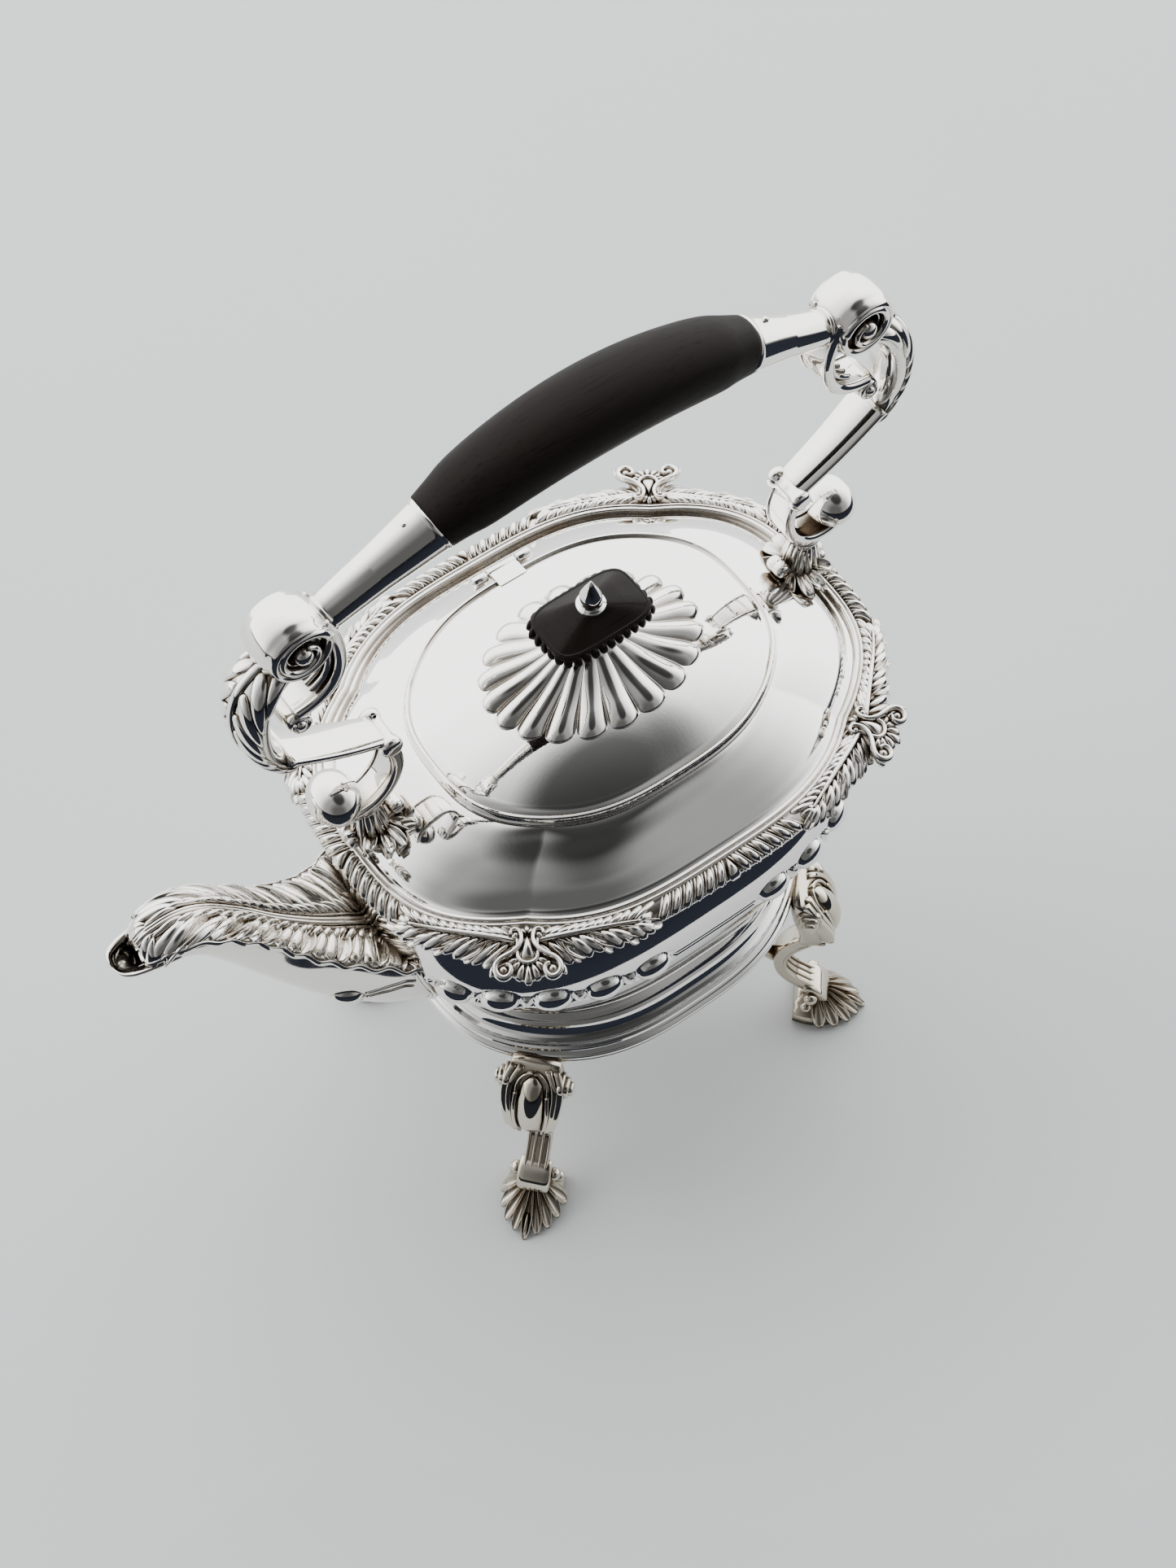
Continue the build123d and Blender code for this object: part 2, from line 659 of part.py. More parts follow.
SOCKET_LENGTH = hypot(SOCKET_END_X - GRIP_HALF, GRIP_END_Z - SOCKET_END_Z)
PIN_SETBACK = 6.0  # distance of each cross pin from the mouth of its socket
CROSS_PIN_RADIUS = 0.9


def cross_pin(side, radius, length):
    """Round pin square to the socket, through the tenon of the grip."""
    mouth = socket_plane(side)
    across = Plane(mouth.origin + mouth.z_dir * PIN_SETBACK, x_dir=mouth.z_dir, z_dir=mouth.x_dir.cross(mouth.z_dir))
    with BuildPart() as pin:
        with BuildSketch(across) as section:
            Circle(radius)
        extrude(section.sketch, amount=length / 2, both=True)
    return pin.part


with BuildPart() as grip:
    waist = [grip_section(share, radius) for share, radius in grip_shape]
    loft(sections=[grip_end(-1)] + waist + [grip_end(1)])
    for side in (-1, 1):
        with BuildSketch(socket_plane(side)):
            Circle(TENON_RADIUS)
        extrude(amount=TENON_LENGTH)
        add(cross_pin(side, CROSS_PIN_RADIUS, 40), mode=Mode.SUBTRACT)
save(grip.part, "grip")

with BuildPart() as grip_pins:
    for side in (-1, 1):
        add(cross_pin(side, CROSS_PIN_RADIUS, 17.4))
save(grip_pins.part, "grip_pins")

# ------------------------------------------------------------------ handle: sockets, arms and stems
# The arm on the +X side, as centre lines in the XZ plane: a rolled volute at the socket, a loop that
# ends in a small roll, a leaf over the loop, a straight strap, and a C-scroll that ends in a roll.
VOLUTE = (94.0, 333.0)
VOLUTE_RADIUS = 9.6
LOOP_LINE = [(84.6, 330), (80.6, 319), (82.6, 306), (90.6, 299), (100, 297.6), (106, 293)]
LOOP_ROLL = (105.0, 292.4)
LEAF_LINE = [(97.0, 322.6), (105.0, 321.0), (112.6, 309), (115.6, 292), (111.4, 277.6), (102.0, 275.4)]
STRAP_LINE = [(106.0, 277.0), (90.0, 274.0), (75.0, 264.6), (71.6, 255.0), (75.0, 244.0), (84.6, 236.6), (94.0, 238.4)]
STRAP_ROLL = (72.8, 264.6)
SCROLL_ROLL = (94.0, 246.4)
STEM_TOP_Z = 235.2
STEM_X = 83.0


def roll(place, radius, half_width):
    """Rolled end of a scroll: a short round bar square to the handle's plane."""
    with BuildPart() as bar:
        with BuildSketch(Plane.XZ) as section:
            with Locations(place):
                Circle(radius)
        extrude(section.sketch, amount=half_width, both=True)
    return bar.part


with BuildPart() as arm_pattern:
    add(roll(VOLUTE, VOLUTE_RADIUS, 7.0))
    add(ribbon(LOOP_LINE, ARM_SHEET, ARM_HALF_WIDTH))
    add(roll(LOOP_ROLL, 4.2, ARM_HALF_WIDTH + 1.4))
    add(ribbon(LEAF_LINE, ARM_SHEET, ARM_HALF_WIDTH + 1.0))
    add(ribbon(STRAP_LINE, ARM_SHEET, ARM_HALF_WIDTH - 0.5))
    add(roll(STRAP_ROLL, 2.9, ARM_HALF_WIDTH + 0.6))
    add(roll(SCROLL_ROLL, 8.0, ARM_HALF_WIDTH + 1.6))

STEM_LEVELS = [(212.0, 8.4, 7.4), (217.0, 6.0, 5.6), (225.0, 4.4, 4.6), (STEM_TOP_Z + 0.6, 5.2, 4.8)]
with BuildPart() as stem_pattern:
    sections = []
    for level, half_x, half_y in STEM_LEVELS:
        with BuildSketch(Plane.XY.offset(level)) as stem_section:
            with Locations((STEM_X, 0)):
                Ellipse(half_x, half_y)
        sections.append(stem_section.sketch)
    loft(sections=sections)
    add(skin(shoulder_levels), mode=Mode.SUBTRACT)
    add(skin(border_levels), mode=Mode.SUBTRACT)
    add(arm_pattern.part, mode=Mode.SUBTRACT)

for side, hand in ((-1, "left"), (1, "right")):
    mouth = socket_plane(side)
    with BuildPart() as socket:
        with BuildSketch(mouth):
            Circle(GRIP_END_RADIUS)
        with BuildSketch(mouth.offset(SOCKET_LENGTH + 1)):
            Circle(5.2)
        loft()
        with BuildSketch(mouth):
            Circle(TENON_RADIUS)
        extrude(amount=TENON_LENGTH, mode=Mode.SUBTRACT)
        add(cross_pin(side, CROSS_PIN_RADIUS, 40), mode=Mode.SUBTRACT)
        if side > 0:
            add(arm_pattern.part, mode=Mode.SUBTRACT)
        else:
            add(mirror(arm_pattern.part, about=Plane.YZ, mode=Mode.PRIVATE), mode=Mode.SUBTRACT)
    save(socket.part, f"handle_socket_{hand}")

    with BuildPart() as arm:
        if side > 0:
            add(arm_pattern.part)
        else:
            mirror(arm_pattern.part, about=Plane.YZ)
    save(arm.part, f"handle_arm_{hand}")

    with BuildPart() as stem:
        if side > 0:
            add(stem_pattern.part)
        else:
            mirror(stem_pattern.part, about=Plane.YZ)
    save(stem.part, f"handle_stem_{hand}")
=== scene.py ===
"""Looks of the silver kettle-form teapot on its stand.

Shapes are drawn in millimetres about the pot's upright axis, from the table up, and are written in
metres in the shared frame. The spout points to -X and the lid hinge is on the +Y side.
"""

import json
import math

import bpy
import numpy as np
from mathutils import Matrix, Vector


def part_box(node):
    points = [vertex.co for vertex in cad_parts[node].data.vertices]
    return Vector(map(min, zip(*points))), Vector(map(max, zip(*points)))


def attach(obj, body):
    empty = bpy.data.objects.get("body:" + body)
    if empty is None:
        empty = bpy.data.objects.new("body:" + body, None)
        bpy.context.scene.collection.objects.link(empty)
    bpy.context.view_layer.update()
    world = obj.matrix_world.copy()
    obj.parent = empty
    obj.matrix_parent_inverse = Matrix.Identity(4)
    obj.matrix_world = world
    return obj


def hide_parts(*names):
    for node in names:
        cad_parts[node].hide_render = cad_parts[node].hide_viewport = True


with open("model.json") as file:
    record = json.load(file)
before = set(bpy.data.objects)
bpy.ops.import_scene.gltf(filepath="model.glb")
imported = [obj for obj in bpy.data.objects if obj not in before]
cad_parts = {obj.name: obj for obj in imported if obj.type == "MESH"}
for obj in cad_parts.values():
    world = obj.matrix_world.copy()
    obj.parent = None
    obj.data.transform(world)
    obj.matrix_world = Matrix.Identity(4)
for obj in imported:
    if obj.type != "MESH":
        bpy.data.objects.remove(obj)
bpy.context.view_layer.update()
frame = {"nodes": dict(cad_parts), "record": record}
GRIP_LOW, GRIP_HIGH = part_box("grip")
POT_X = (GRIP_LOW[0] + GRIP_HIGH[0]) / 2
MM = 0.001

# Plan outlines: where the corners are, as shares of the half sizes, and the power of the bowed sides
OVAL = (0.72, 0.76, 2.85)
BOMBE = (0.74, 0.775, 3.13)
NOTCHED = (0.687, 0.759, 3.3)
CORNERS = ((-1, -1), (1, -1), (1, 1), (-1, 1))
CORNER_NAMES = ("front_left", "front_right", "back_right", "back_left")
WALL = 1.3  # raised silver sheet
ACROSS = (0, 1, 0)
UPWARDS = (0, 0, 1)


# ---------------------------------------------------------------- curves
def smooth(keys, count, span=None):
    """Rows spread along a smooth curve through the key rows, by the length of their first columns."""
    keys = np.asarray(keys, float)
    n = len(keys)
    steps = np.maximum(np.linalg.norm(np.diff(keys[:, :span], axis=0), axis=1), 1e-6)
    at = np.concatenate(([0.0], np.cumsum(steps)))
    system = np.eye(n)
    right = np.zeros_like(keys)
    for i in range(1, n - 1):
        system[i, i - 1 : i + 2] = steps[i - 1], 2 * (steps[i - 1] + steps[i]), steps[i]
        right[i] = 6 * ((keys[i + 1] - keys[i]) / steps[i] - (keys[i] - keys[i - 1]) / steps[i - 1])
    bend = np.linalg.solve(system, right)
    want = np.linspace(0, at[-1], count)
    i = np.clip(np.searchsorted(at, want, "right") - 1, 0, n - 2)
    h = steps[i][:, None]
    a = (at[i + 1] - want)[:, None] / h
    b = 1 - a
    return a * keys[i] + b * keys[i + 1] + ((a**3 - a) * bend[i] + (b**3 - b) * bend[i + 1]) * h * h / 6


def straight(keys, count):
    """Rows spread along straight lines between the key rows, with the keys kept sharp."""
    keys = np.asarray(keys, float)
    steps = np.linalg.norm(np.diff(keys[:, :3], axis=0), axis=1)
    at = np.concatenate(([0.0], np.cumsum(steps)))
    want = np.union1d(np.linspace(0, at[-1], count), at)
    return np.stack([np.interp(want, at, keys[:, k]) for k in range(keys.shape[1])], axis=1)


def run_length(points):
    """Distance along a line of points to each of them."""
    return np.concatenate(([0], np.cumsum(np.linalg.norm(np.diff(points, axis=0), axis=1))))


def unit(v):
    return v / np.maximum(np.linalg.norm(v, axis=-1, keepdims=True), 1e-9)


def full_turn(count):
    """Angles spread evenly round a circle."""
    return np.linspace(0, 2 * np.pi, count, endpoint=False)


def xyz(x, y, z):
    """Points from coordinates, where a single number stands for all of them."""
    return np.stack(np.broadcast_arrays(x, y, z), axis=-1).astype(float)


def upright(rows, y=0.0):
    """Points of an upright plane along X from rows that start with (x, z)."""
    return xyz(rows[:, 0], y, rows[:, 1])


def bump(x):
    """1 at 0, falling smoothly to 0 at 1 and beyond."""
    x = np.clip(np.abs(x), 0, 1)
    return (1 - x * x) ** 2


def step(x, low, high):
    """0 below low and 1 above high, smooth between."""
    t = np.clip((x - low) / (high - low), 0, 1)
    return t * t * (3 - 2 * t)


# ---------------------------------------------------------------- meshes
class Shape:
    """Closed surfaces of one piece, in millimetres. place maps the drawn points to their place."""

    def __init__(self, place=None):
        self.place = place
        self.points = []
        self.quads = []
        self.tris = []
        self.count = 0

    def put(self, points, quads, tris):
        points = points if self.place is None else self.place(points)
        p = points - points.mean(axis=0)
        volume = 0.0
        for a, b, c in ((0, 1, 2), (0, 2, 3)):
            volume += np.einsum("ij,ij->", p[quads[:, a]], np.cross(p[quads[:, b]], p[quads[:, c]]))
        if len(tris):
            volume += np.einsum("ij,ij->", p[tris[:, 0]], np.cross(p[tris[:, 1]], p[tris[:, 2]]))
        if volume < 0:
            quads = quads[:, ::-1]
            tris = tris[:, ::-1]
        self.points.append(points)
        self.quads.append(quads + self.count)
        self.tris.append(tris + self.count)
        self.count += len(points)

    def loops(self, rings, ring_round=False):
        """Skin over closed loops of points (loops, points, 3). Its ends are closed, or it goes round."""
        rings = np.asarray(rings, float)
        n, k = rings.shape[:2]
        i = np.arange(n if ring_round else n - 1)[:, None]
        j = np.arange(k)[None, :]
        i2 = (i + 1) % n
        j2 = (j + 1) % k
        quads = np.stack([i * k + j, i * k + j2, i2 * k + j2, i2 * k + j], axis=-1).reshape(-1, 4)
        points = rings.reshape(-1, 3)
        tris = np.zeros((0, 3), int)
        if not ring_round:
            points = np.concatenate([points, rings[0].mean(axis=0)[None], rings[-1].mean(axis=0)[None]])
            j = np.arange(k)
            j2 = (j + 1) % k
            low = np.stack([np.full(k, n * k), j2, j], axis=1)
            high = np.stack([np.full(k, n * k + 1), (n - 1) * k + j, (n - 1) * k + j2], axis=1)
            tris = np.concatenate([low, high])
        self.put(points, quads, tris)

    def make(self, name, body, material, hides=()):
        """Blender object of the piece, riding on its body."""
        points = np.concatenate(self.points) * MM + np.array([POT_X, 0, 0])
        quads = np.concatenate(self.quads)
        tris = np.concatenate(self.tris)
        mesh = bpy.data.meshes.new(name)
        mesh.vertices.add(len(points))
        mesh.vertices.foreach_set("co", points.astype(np.float32).ravel())
        mesh.loops.add(quads.size + tris.size)
        mesh.loops.foreach_set("vertex_index", np.concatenate([quads.ravel(), tris.ravel()]).astype(np.int32))
        mesh.polygons.add(len(quads) + len(tris))
        starts = np.concatenate([np.arange(len(quads)) * 4, quads.size + np.arange(len(tris)) * 3])
        mesh.polygons.foreach_set("loop_start", starts.astype(np.int32))
        mesh.update(calc_edges=True)
        mesh.validate()
        mesh.polygons.foreach_set("use_smooth", np.ones(len(mesh.polygons), bool))
        mesh.materials.append(material)
        obj = bpy.data.objects.new(name, mesh)
        bpy.context.scene.collection.objects.link(obj)
        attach(obj, body)
        if hides:
            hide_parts(*hides)


def squarish(turn, power):
    """Points at angles round an outline in a 2 by 2 square: power 2 is round, 5 nearly square."""
    c, s = np.cos(turn), np.sin(turn)
    return np.stack([np.sign(c) * np.abs(c) ** (2 / power), np.sign(s) * np.abs(s) ** (2 / power)], axis=1)


def oval_form(power=2.0, count=20):
    """Closed squarish section outline."""
    return squarish(full_turn(count), power)


def open_form(top):
    """Closed section from heights across the top (-1 to 1): the underside is at -1."""
    v = np.sin(np.linspace(-np.pi / 2, np.pi / 2, len(top)))
    return np.array(list(zip(v, top)) + [(0.8, -1), (0, -1), (-0.8, -1)])


ROUND = open_form([0, 0.55, 0.8, 0.95, 1, 0.95, 0.8, 0.55, 0])
CUPPED = open_form([0.1, 0.75, 1, 0.72, 0.5, 0.36, 0.3, 0.36, 0.5, 0.72, 1, 0.75, 0.1])
SPOON = open_form([0.1, 0.8, 1, 0.86, 0.5, 0.24, 0.1, 0.05, 0.1, 0.24, 0.5, 0.86, 1, 0.8, 0.1])
BAR = oval_form(5, 28)
TUBE = oval_form(2, 24)


def tube(shape, path, across, half_width, half_height, form=TUBE):
    """Sweeps a section along a path. across is the direction of its width."""
    path = np.asarray(path, float)
    n = len(path)
    along = unit(np.gradient(path, axis=0))
    across = np.broadcast_to(np.asarray(across, float), path.shape)
    across = unit(across - along * np.sum(across * along, axis=1, keepdims=True))
    up = np.cross(along, across)
    w = np.broadcast_to(half_width, n)[:, None, None]
    h = np.broadcast_to(half_height, n)[:, None, None]
    v = form[None, :, 0, None]
    t = form[None, :, 1, None]
    shape.loops(path[:, None] + across[:, None] * w * v + up[:, None] * h * t)


def revolve(shape, profile, place=(0, 0, 0), axis=(0, 0, 1), count=48):
    """Turns (radius, height) points round an axis; the profile starts and ends on it or near it."""
    profile = np.asarray(profile, float)
    axis = unit(np.asarray(axis, float))
    ex = unit(np.cross(axis, (0.3, 0.9, 0.1)))
    ey = np.cross(axis, ex)
    turn = full_turn(count)[None, :, None]
    r = np.maximum(profile[:, 0], 1e-3)[:, None, None]
    z = profile[:, 1][:, None, None]
    shape.loops(np.asarray(place, float) + r * (np.cos(turn) * ex + np.sin(turn) * ey) + z * axis)


def flat(origin, ahead, up):
    """Chart of a plane: (along, sideways, height) to a point."""
    origin = np.asarray(origin, float)
    up = unit(np.asarray(up, float))
    ahead = np.asarray(ahead, float)
    ahead = unit(ahead - up * np.dot(ahead, up))
    side = np.cross(up, ahead)
    return lambda a, b, h: origin + a[..., None] * ahead + b[..., None] * side + h[..., None] * up


def mirrored(chart, along=1, across=1):
    """The same chart with its directions turned round."""
    return lambda a, b, h: chart(along * a, across * b, h)


def petal(shape, chart, start, heading, length, width, height, bend=0.0, blunt=0.45, neck=0.8, form=ROUND,
          lift=0.0, base=0.0, sink=0.8, rows=14):
    """A lobe lying on a chart: it grows from start along its heading, in degrees."""
    u = np.linspace(0.015, 0.985, rows)
    angle = math.radians(heading) + math.radians(bend) * (u - 0.3)
    run = np.gradient(u) * length
    a = start[0] + np.cumsum(np.cos(angle) * run)
    b = start[1] + np.cumsum(np.sin(angle) * run)
    top = (neck / (neck + blunt)) ** neck * (blunt / (neck + blunt)) ** blunt
    half = width / 2 * u**neck * (1 - u) ** blunt / top
    tall = height * (0.35 + 0.65 * np.sin(np.pi * u**0.8)) * np.minimum(1, (1 - u) * 6) ** 0.5
    ground = base + lift * u * u
    v = form[None, :, 0]
    t = form[None, :, 1]
    rise = np.where(t < 0, -sink + ground[:, None], ground[:, None] + tall[:, None] * t)
    aa = a[:, None] - np.sin(angle)[:, None] * half[:, None] * v
    bb = b[:, None] + np.cos(angle)[:, None] * half[:, None] * v
    shape.loops(chart(aa, bb, rise))


# ---------------------------------------------------------------- plan outlines
def plan(half_x, half_y, form, steps=120):
    """Closed outlines (levels, 4 * steps, 2) with bowed sides, anticlockwise from the front left corner."""
    half_x = np.atleast_1d(np.asarray(half_x, float))[:, None]
    half_y = np.atleast_1d(np.asarray(half_y, float))[:, None]
    form = np.asarray(form, float).reshape(-1, 3)
    cx = form[:, :1] * half_x
    cy = form[:, 1:2] * half_y
    power = form[:, 2:3]
    s = np.linspace(-1, 1, steps + 1)[None, :-1]
    bow = np.abs(s) ** power
    front = np.stack([s * cx, (half_y - cy) * bow - half_y], axis=-1)
    right = np.stack([half_x - (half_x - cx) * bow, s * cy], axis=-1)
    return np.concatenate([front, right, -front, -right], axis=1)


def oval(step_in, rows):
    """Levels of an oval moulding from (z, half x) rows: half y is less by the same step."""
    return [(z, x, x - step_in, OVAL) for z, x in rows]


def skin(levels, rows, steps=120, curve=smooth):
    """Grid (rows, points, 3) through plan outlines given as (z, half_x, half_y, form)."""
    keys = [(z, x, y, *form) for z, x, y, form in levels]
    keys = smooth(keys, rows, 3) if curve is smooth else straight(keys, rows)
    grid = np.zeros((len(keys), 4 * steps, 3))
    grid[..., :2] = plan(keys[:, 1], keys[:, 2], keys[:, 3:6], steps)
    grid[..., 2] = keys[:, :1]
    return grid


def normals(grid):
    """Outward normals of a grid of closed outlines running upwards."""
    down = np.gradient(grid, axis=0)
    wide = np.concatenate([grid[:, -1:], grid, grid[:, :1]], axis=1)
    round_ = (wide[:, 2:] - wide[:, :-2]) / 2
    return unit(np.cross(round_, down))


# ---------------------------------------------------------------- pot: body
BODY_LEVELS = [
    (100.6, 70.6, 59.0, OVAL),
    (104.0, 69.4, 57.4, OVAL),
    (110.0, 69.8, 57.4, OVAL),
    (126.0, 74.6, 60.0, OVAL),
    (145.0, 84.2, 65.6, BOMBE),
    (163.0, 90.0, 69.0, BOMBE),
    (178.0, 88.6, 67.8, BOMBE),
    (190.0, 83.0, 62.4, BOMBE),
    (197.0, 82.4, 61.4, NOTCHED),
    (206.0, 87.0, 65.6, NOTCHED),
]
BAND_Z = 163.0
BOSS_REACH = (6.5, 5.7)
BOSS_HEIGHT = 3.2
BOSSES = ((24.7, 68.8), (42.3, 66.5), (58.7, 60.5), (73.1, 50.8), (83.0, 38.0))


def band_height(grid):
    """Raised bosses of the body, and the strap and fine reeds that join them."""
    row = np.argmin(np.abs(grid[:, 0, 2] - BAND_Z))
    ring = grid[row]
    level = grid[..., 2] - BAND_Z
    nearest = np.full(level.shape, 9.0)
    for bx, by in BOSSES:
        for sx, sy in CORNERS:
            k = np.argmin(np.hypot(ring[:, 0] - sx * bx, ring[:, 1] - sy * by))
            along = unit(ring[(k + 2) % len(ring)] - ring[k - 2])
            reach = (grid - ring[k]) @ along
            away = np.linalg.norm(grid[..., :2] - ring[k, :2], axis=-1) > 14
            r = np.hypot(reach / BOSS_REACH[0], level / BOSS_REACH[1])
            nearest = np.minimum(nearest, np.where(away, 9.0, r))
    dome = BOSS_HEIGHT * np.clip(1 - nearest**2, 0, 1) ** 0.6
    groove = -0.9 * bump((nearest - 1.1) / 0.22)
    outside = step(nearest, 1.08, 1.24)
    half = 1.7 + 1.9 * np.exp(-1.7 * (nearest - 1))
    away = np.abs(level) - half
    strap = 1.3 * (1 - step(away, -0.6, 0.1)) - 0.5 * bump((away - 0.5) / 0.7)
    fine = 0.5 * bump((np.abs(level) - 1.1) / 0.9)
    corner = step(np.abs(grid[..., 0]), 23, 26) * step(np.abs(grid[..., 1]), 34, 38)
    return dome + groove + outside * (corner * strap + (1 - corner) * fine)


def pot_body(material):
    body = Shape()
    grid = skin(BODY_LEVELS, 250, 200)
    grid = grid + normals(grid) * band_height(grid)[..., None]
    lining = skin(BODY_LEVELS, 40, 200)
    lining = lining - normals(lining) * WALL
    lining[0, :, 2] += 1.6
    body.loops(np.concatenate([grid, lining[::-1]]))
    body.make("pot_body_shell", "pot", material, ["pot_body"])


def left_wall(y, z):
    """X of the body's surface on the spout side."""
    keys = smooth([(lz, x, w, *form) for lz, x, w, form in BODY_LEVELS], 200, 3)
    hx, hy, sx, sy, power = (np.interp(z, keys[:, 0], keys[:, k]) for k in range(1, 6))
    return -(hx - (1 - sx) * hx * np.abs(y / (sy * hy)) ** power)


# ---------------------------------------------------------------- pot: shoulder
SHOULDER_LEVELS = [
    (207.6, 88.4, 66.8, NOTCHED),
    (210.2, 88.2, 66.6, NOTCHED),
    (211.0, 86.4, 65.0, NOTCHED),
    (213.6, 83.6, 62.4, NOTCHED),
    (217.6, 78.6, 58.2, NOTCHED),
    (221.2, 72.8, 53.8, NOTCHED),
    (224.2, 66.4, 49.6, NOTCHED),
    (226.0, 61.8, 46.8, (0.705, 0.76, 3.05)),
    (226.5, 59.6, 45.4, OVAL),
]


def shoulder(material):
    part = Shape()
    top = skin(SHOULDER_LEVELS, 90, 160)
    lip = skin([(226.5, 59.4, 45.2, OVAL), (226.2, 57.2, 43.4, OVAL), (225.0, 56.6, 42.8, OVAL)], 8, 160)
    under = skin([(223.6, 57.2, 43.4, OVAL), (218.0, 74.0, 54.6, NOTCHED), (207.6, 86.6, 65.2, NOTCHED)],
                 16, 160)
    part.loops(np.concatenate([top, lip, under]), ring_round=True)
    part.make("shoulder_skin", "pot", material, ["shoulder"])


# ---------------------------------------------------------------- pot: cast border
REED_X = 89.7
REED_Y = 68.1
BORDER_WIDTH = 8.2
CUSP = np.array([61.6, 51.7])
SHELL_HEADING = math.radians(56.5)
BORDER_PROFILE = [(-2.4, 208.6), (-2.2, 210.8), (-1.7, 211.7), (-1.0, 211.95), (-0.35, 211.6),
                  (-0.1, 211.1), (0.2, 211.45), (0.8, 211.5), (1.2, 210.9), (2.4, 210.5), (4.4, 209.7),
                  (6.0, 208.5), (6.9, 207.0), (6.6, 206.0), (4.6, 205.6), (0.6, 206.4), (-1.8, 207.2)]


def border_z(b):
    return 211.0 - 3.9 * np.clip(b / BORDER_WIDTH, 0, 1.3) ** 1.7


def side_length(side):
    """Half the length of one side's cast border."""
    s = np.linspace(0, 1, 400)
    x, y = side_point(side, s, 4.0)
    return np.concatenate(([0], np.cumsum(np.hypot(np.diff(x), np.diff(y))))), s


def side_point(side, s, b):
    """Point of the border on one side: s from -1 to 1 along it, b millimetres outwards from the reed."""
    hx = REED_X + b
    hy = REED_Y + b
    share_x, share_y, power = NOTCHED
    bow = np.abs(s) ** power
    if side % 2 == 0:
        x = s * share_x * hx
        y = (hy - share_y * hy) * bow - hy
    else:
        x = hx - (hx - share_x * hx) * bow
        y = s * share_y * hy
    return (x, y) if side < 2 else (-x, -y)


def border_chart(side):
    """Chart of one side: along it from its middle, outwards from the reed, and height."""
    table, shares = side_length(side)
    ahead = np.append(table, table[-1] + 6)
    share = np.append(shares, 1 + 6 * (shares[-1] - shares[-40]) / (table[-1] - table[-40]))

    def chart(a, b, h):
        s = np.sign(a) * np.interp(np.abs(a), ahead, share)
        x, y = side_point(side, s, b)
        out = unit(np.stack([x / REED_X, y / REED_Y], axis=-1))
        lean = 0.42 * h
        return xyz(x + out[..., 0] * lean, y + out[..., 1] * lean, border_z(b) + 0.9 * h)

    return chart, table[-1]


def leaf_edge(a):
    """How far out the border's leaf reaches at a distance from the corner."""
    return 7.9 + 3.2 * np.exp(-(((a - 4.0) / 10.0) ** 2))


def side_leaf(part, chart, length):
    """Acanthus leaf along the border from a corner shell towards the middle of the side."""

    def leaf(a, b, h):
        return chart(length - a, b, h)

    t = np.linspace(0, 1, 40)
    a = 2.6 + 33.0 * t
    b = 5.2 - 2.5 * np.sin(np.pi * np.clip(t * 0.9, 0, 1)) ** 0.8 + 0.6 * t
    plate = []
    for at in np.linspace(0.5, 37.0, 40):
        out = leaf_edge(at) - 1.5
        plate.append(leaf(at, np.array([1.4, out, out - 0.3, 1.4]), np.array([-0.2, -0.5, -1.7, -1.7])))
    part.loops(np.array(plate))
    tube(part, leaf(a, b, 1.3 - 0.3 * t), UPWARDS, 0.8, np.interp(t, [0, 1], [1.2, 0.5]))
    for group, first in enumerate((1.6, 11.0, 20.0, 28.0)):
        for k in range(4):
            at = first + 2.35 * k
            root = float(np.interp(at, a, b))
            turn = 52 - 7.0 * k - 2.5 * group
            reach = (leaf_edge(at + 4.5) - root - 0.5 * k + 0.4) / math.sin(math.radians(turn - 6))
            petal(part, leaf, (at, root + 0.4), turn, min(reach, 10.5), 3.3 - 0.15 * k, 1.9, bend=-16,
                  blunt=0.32, neck=0.55, form=CUPPED if k in (0, 3) else ROUND, lift=0.3)
    for group, first in enumerate((0.6, 9.6, 18.2, 26.2)):
        for k in range(4):
            at = first + 2.2 * k
            root = float(np.interp(at, a, b))
            turn = -(30 - 4 * k)
            reach = (root - 1.0) / math.sin(math.radians(-turn + 3))
            petal(part, leaf, (at, root - 0.1), turn, min(reach, 8.5), 2.3 - 0.1 * k, 1.9, bend=10,
                  blunt=0.4, neck=0.5, form=CUPPED if k == 0 else ROUND, lift=0.2)
    for turn, size in ((-22, 4.4), (-2, 5.6), (18, 5.4)):
        petal(part, leaf, (34.0, float(b[-1])), turn, size, 2.7, 1.7, blunt=0.4, neck=0.6)


def gadroon(part, chart):
    """Slanted lobes and reeds that fan away from the middle of a side."""
    reed = {"blunt": 0.25, "neck": 0.3}
    petal(part, chart, (0, 0.9), 90, 6.7, 4.2, 2.5, blunt=0.3, neck=1.2)
    for side in (-1, 1):
        fan = mirrored(chart, along=side)
        for k in range(6):
            at = 1.2 + 4.0 * k
            turn = 70 - 1.2 * k
            petal(part, fan, (at, 0.9), turn, 6.9, 0.95, 1.3, bend=-16, **reed)
            petal(part, fan, (at + 1.1, 0.9), turn - 3, 7.0, 2.5, 2.5, bend=-18, blunt=0.3, neck=0.4)
            petal(part, fan, (at + 2.6, 0.9), turn - 4, 6.9, 0.95, 1.3, bend=-18, **reed)


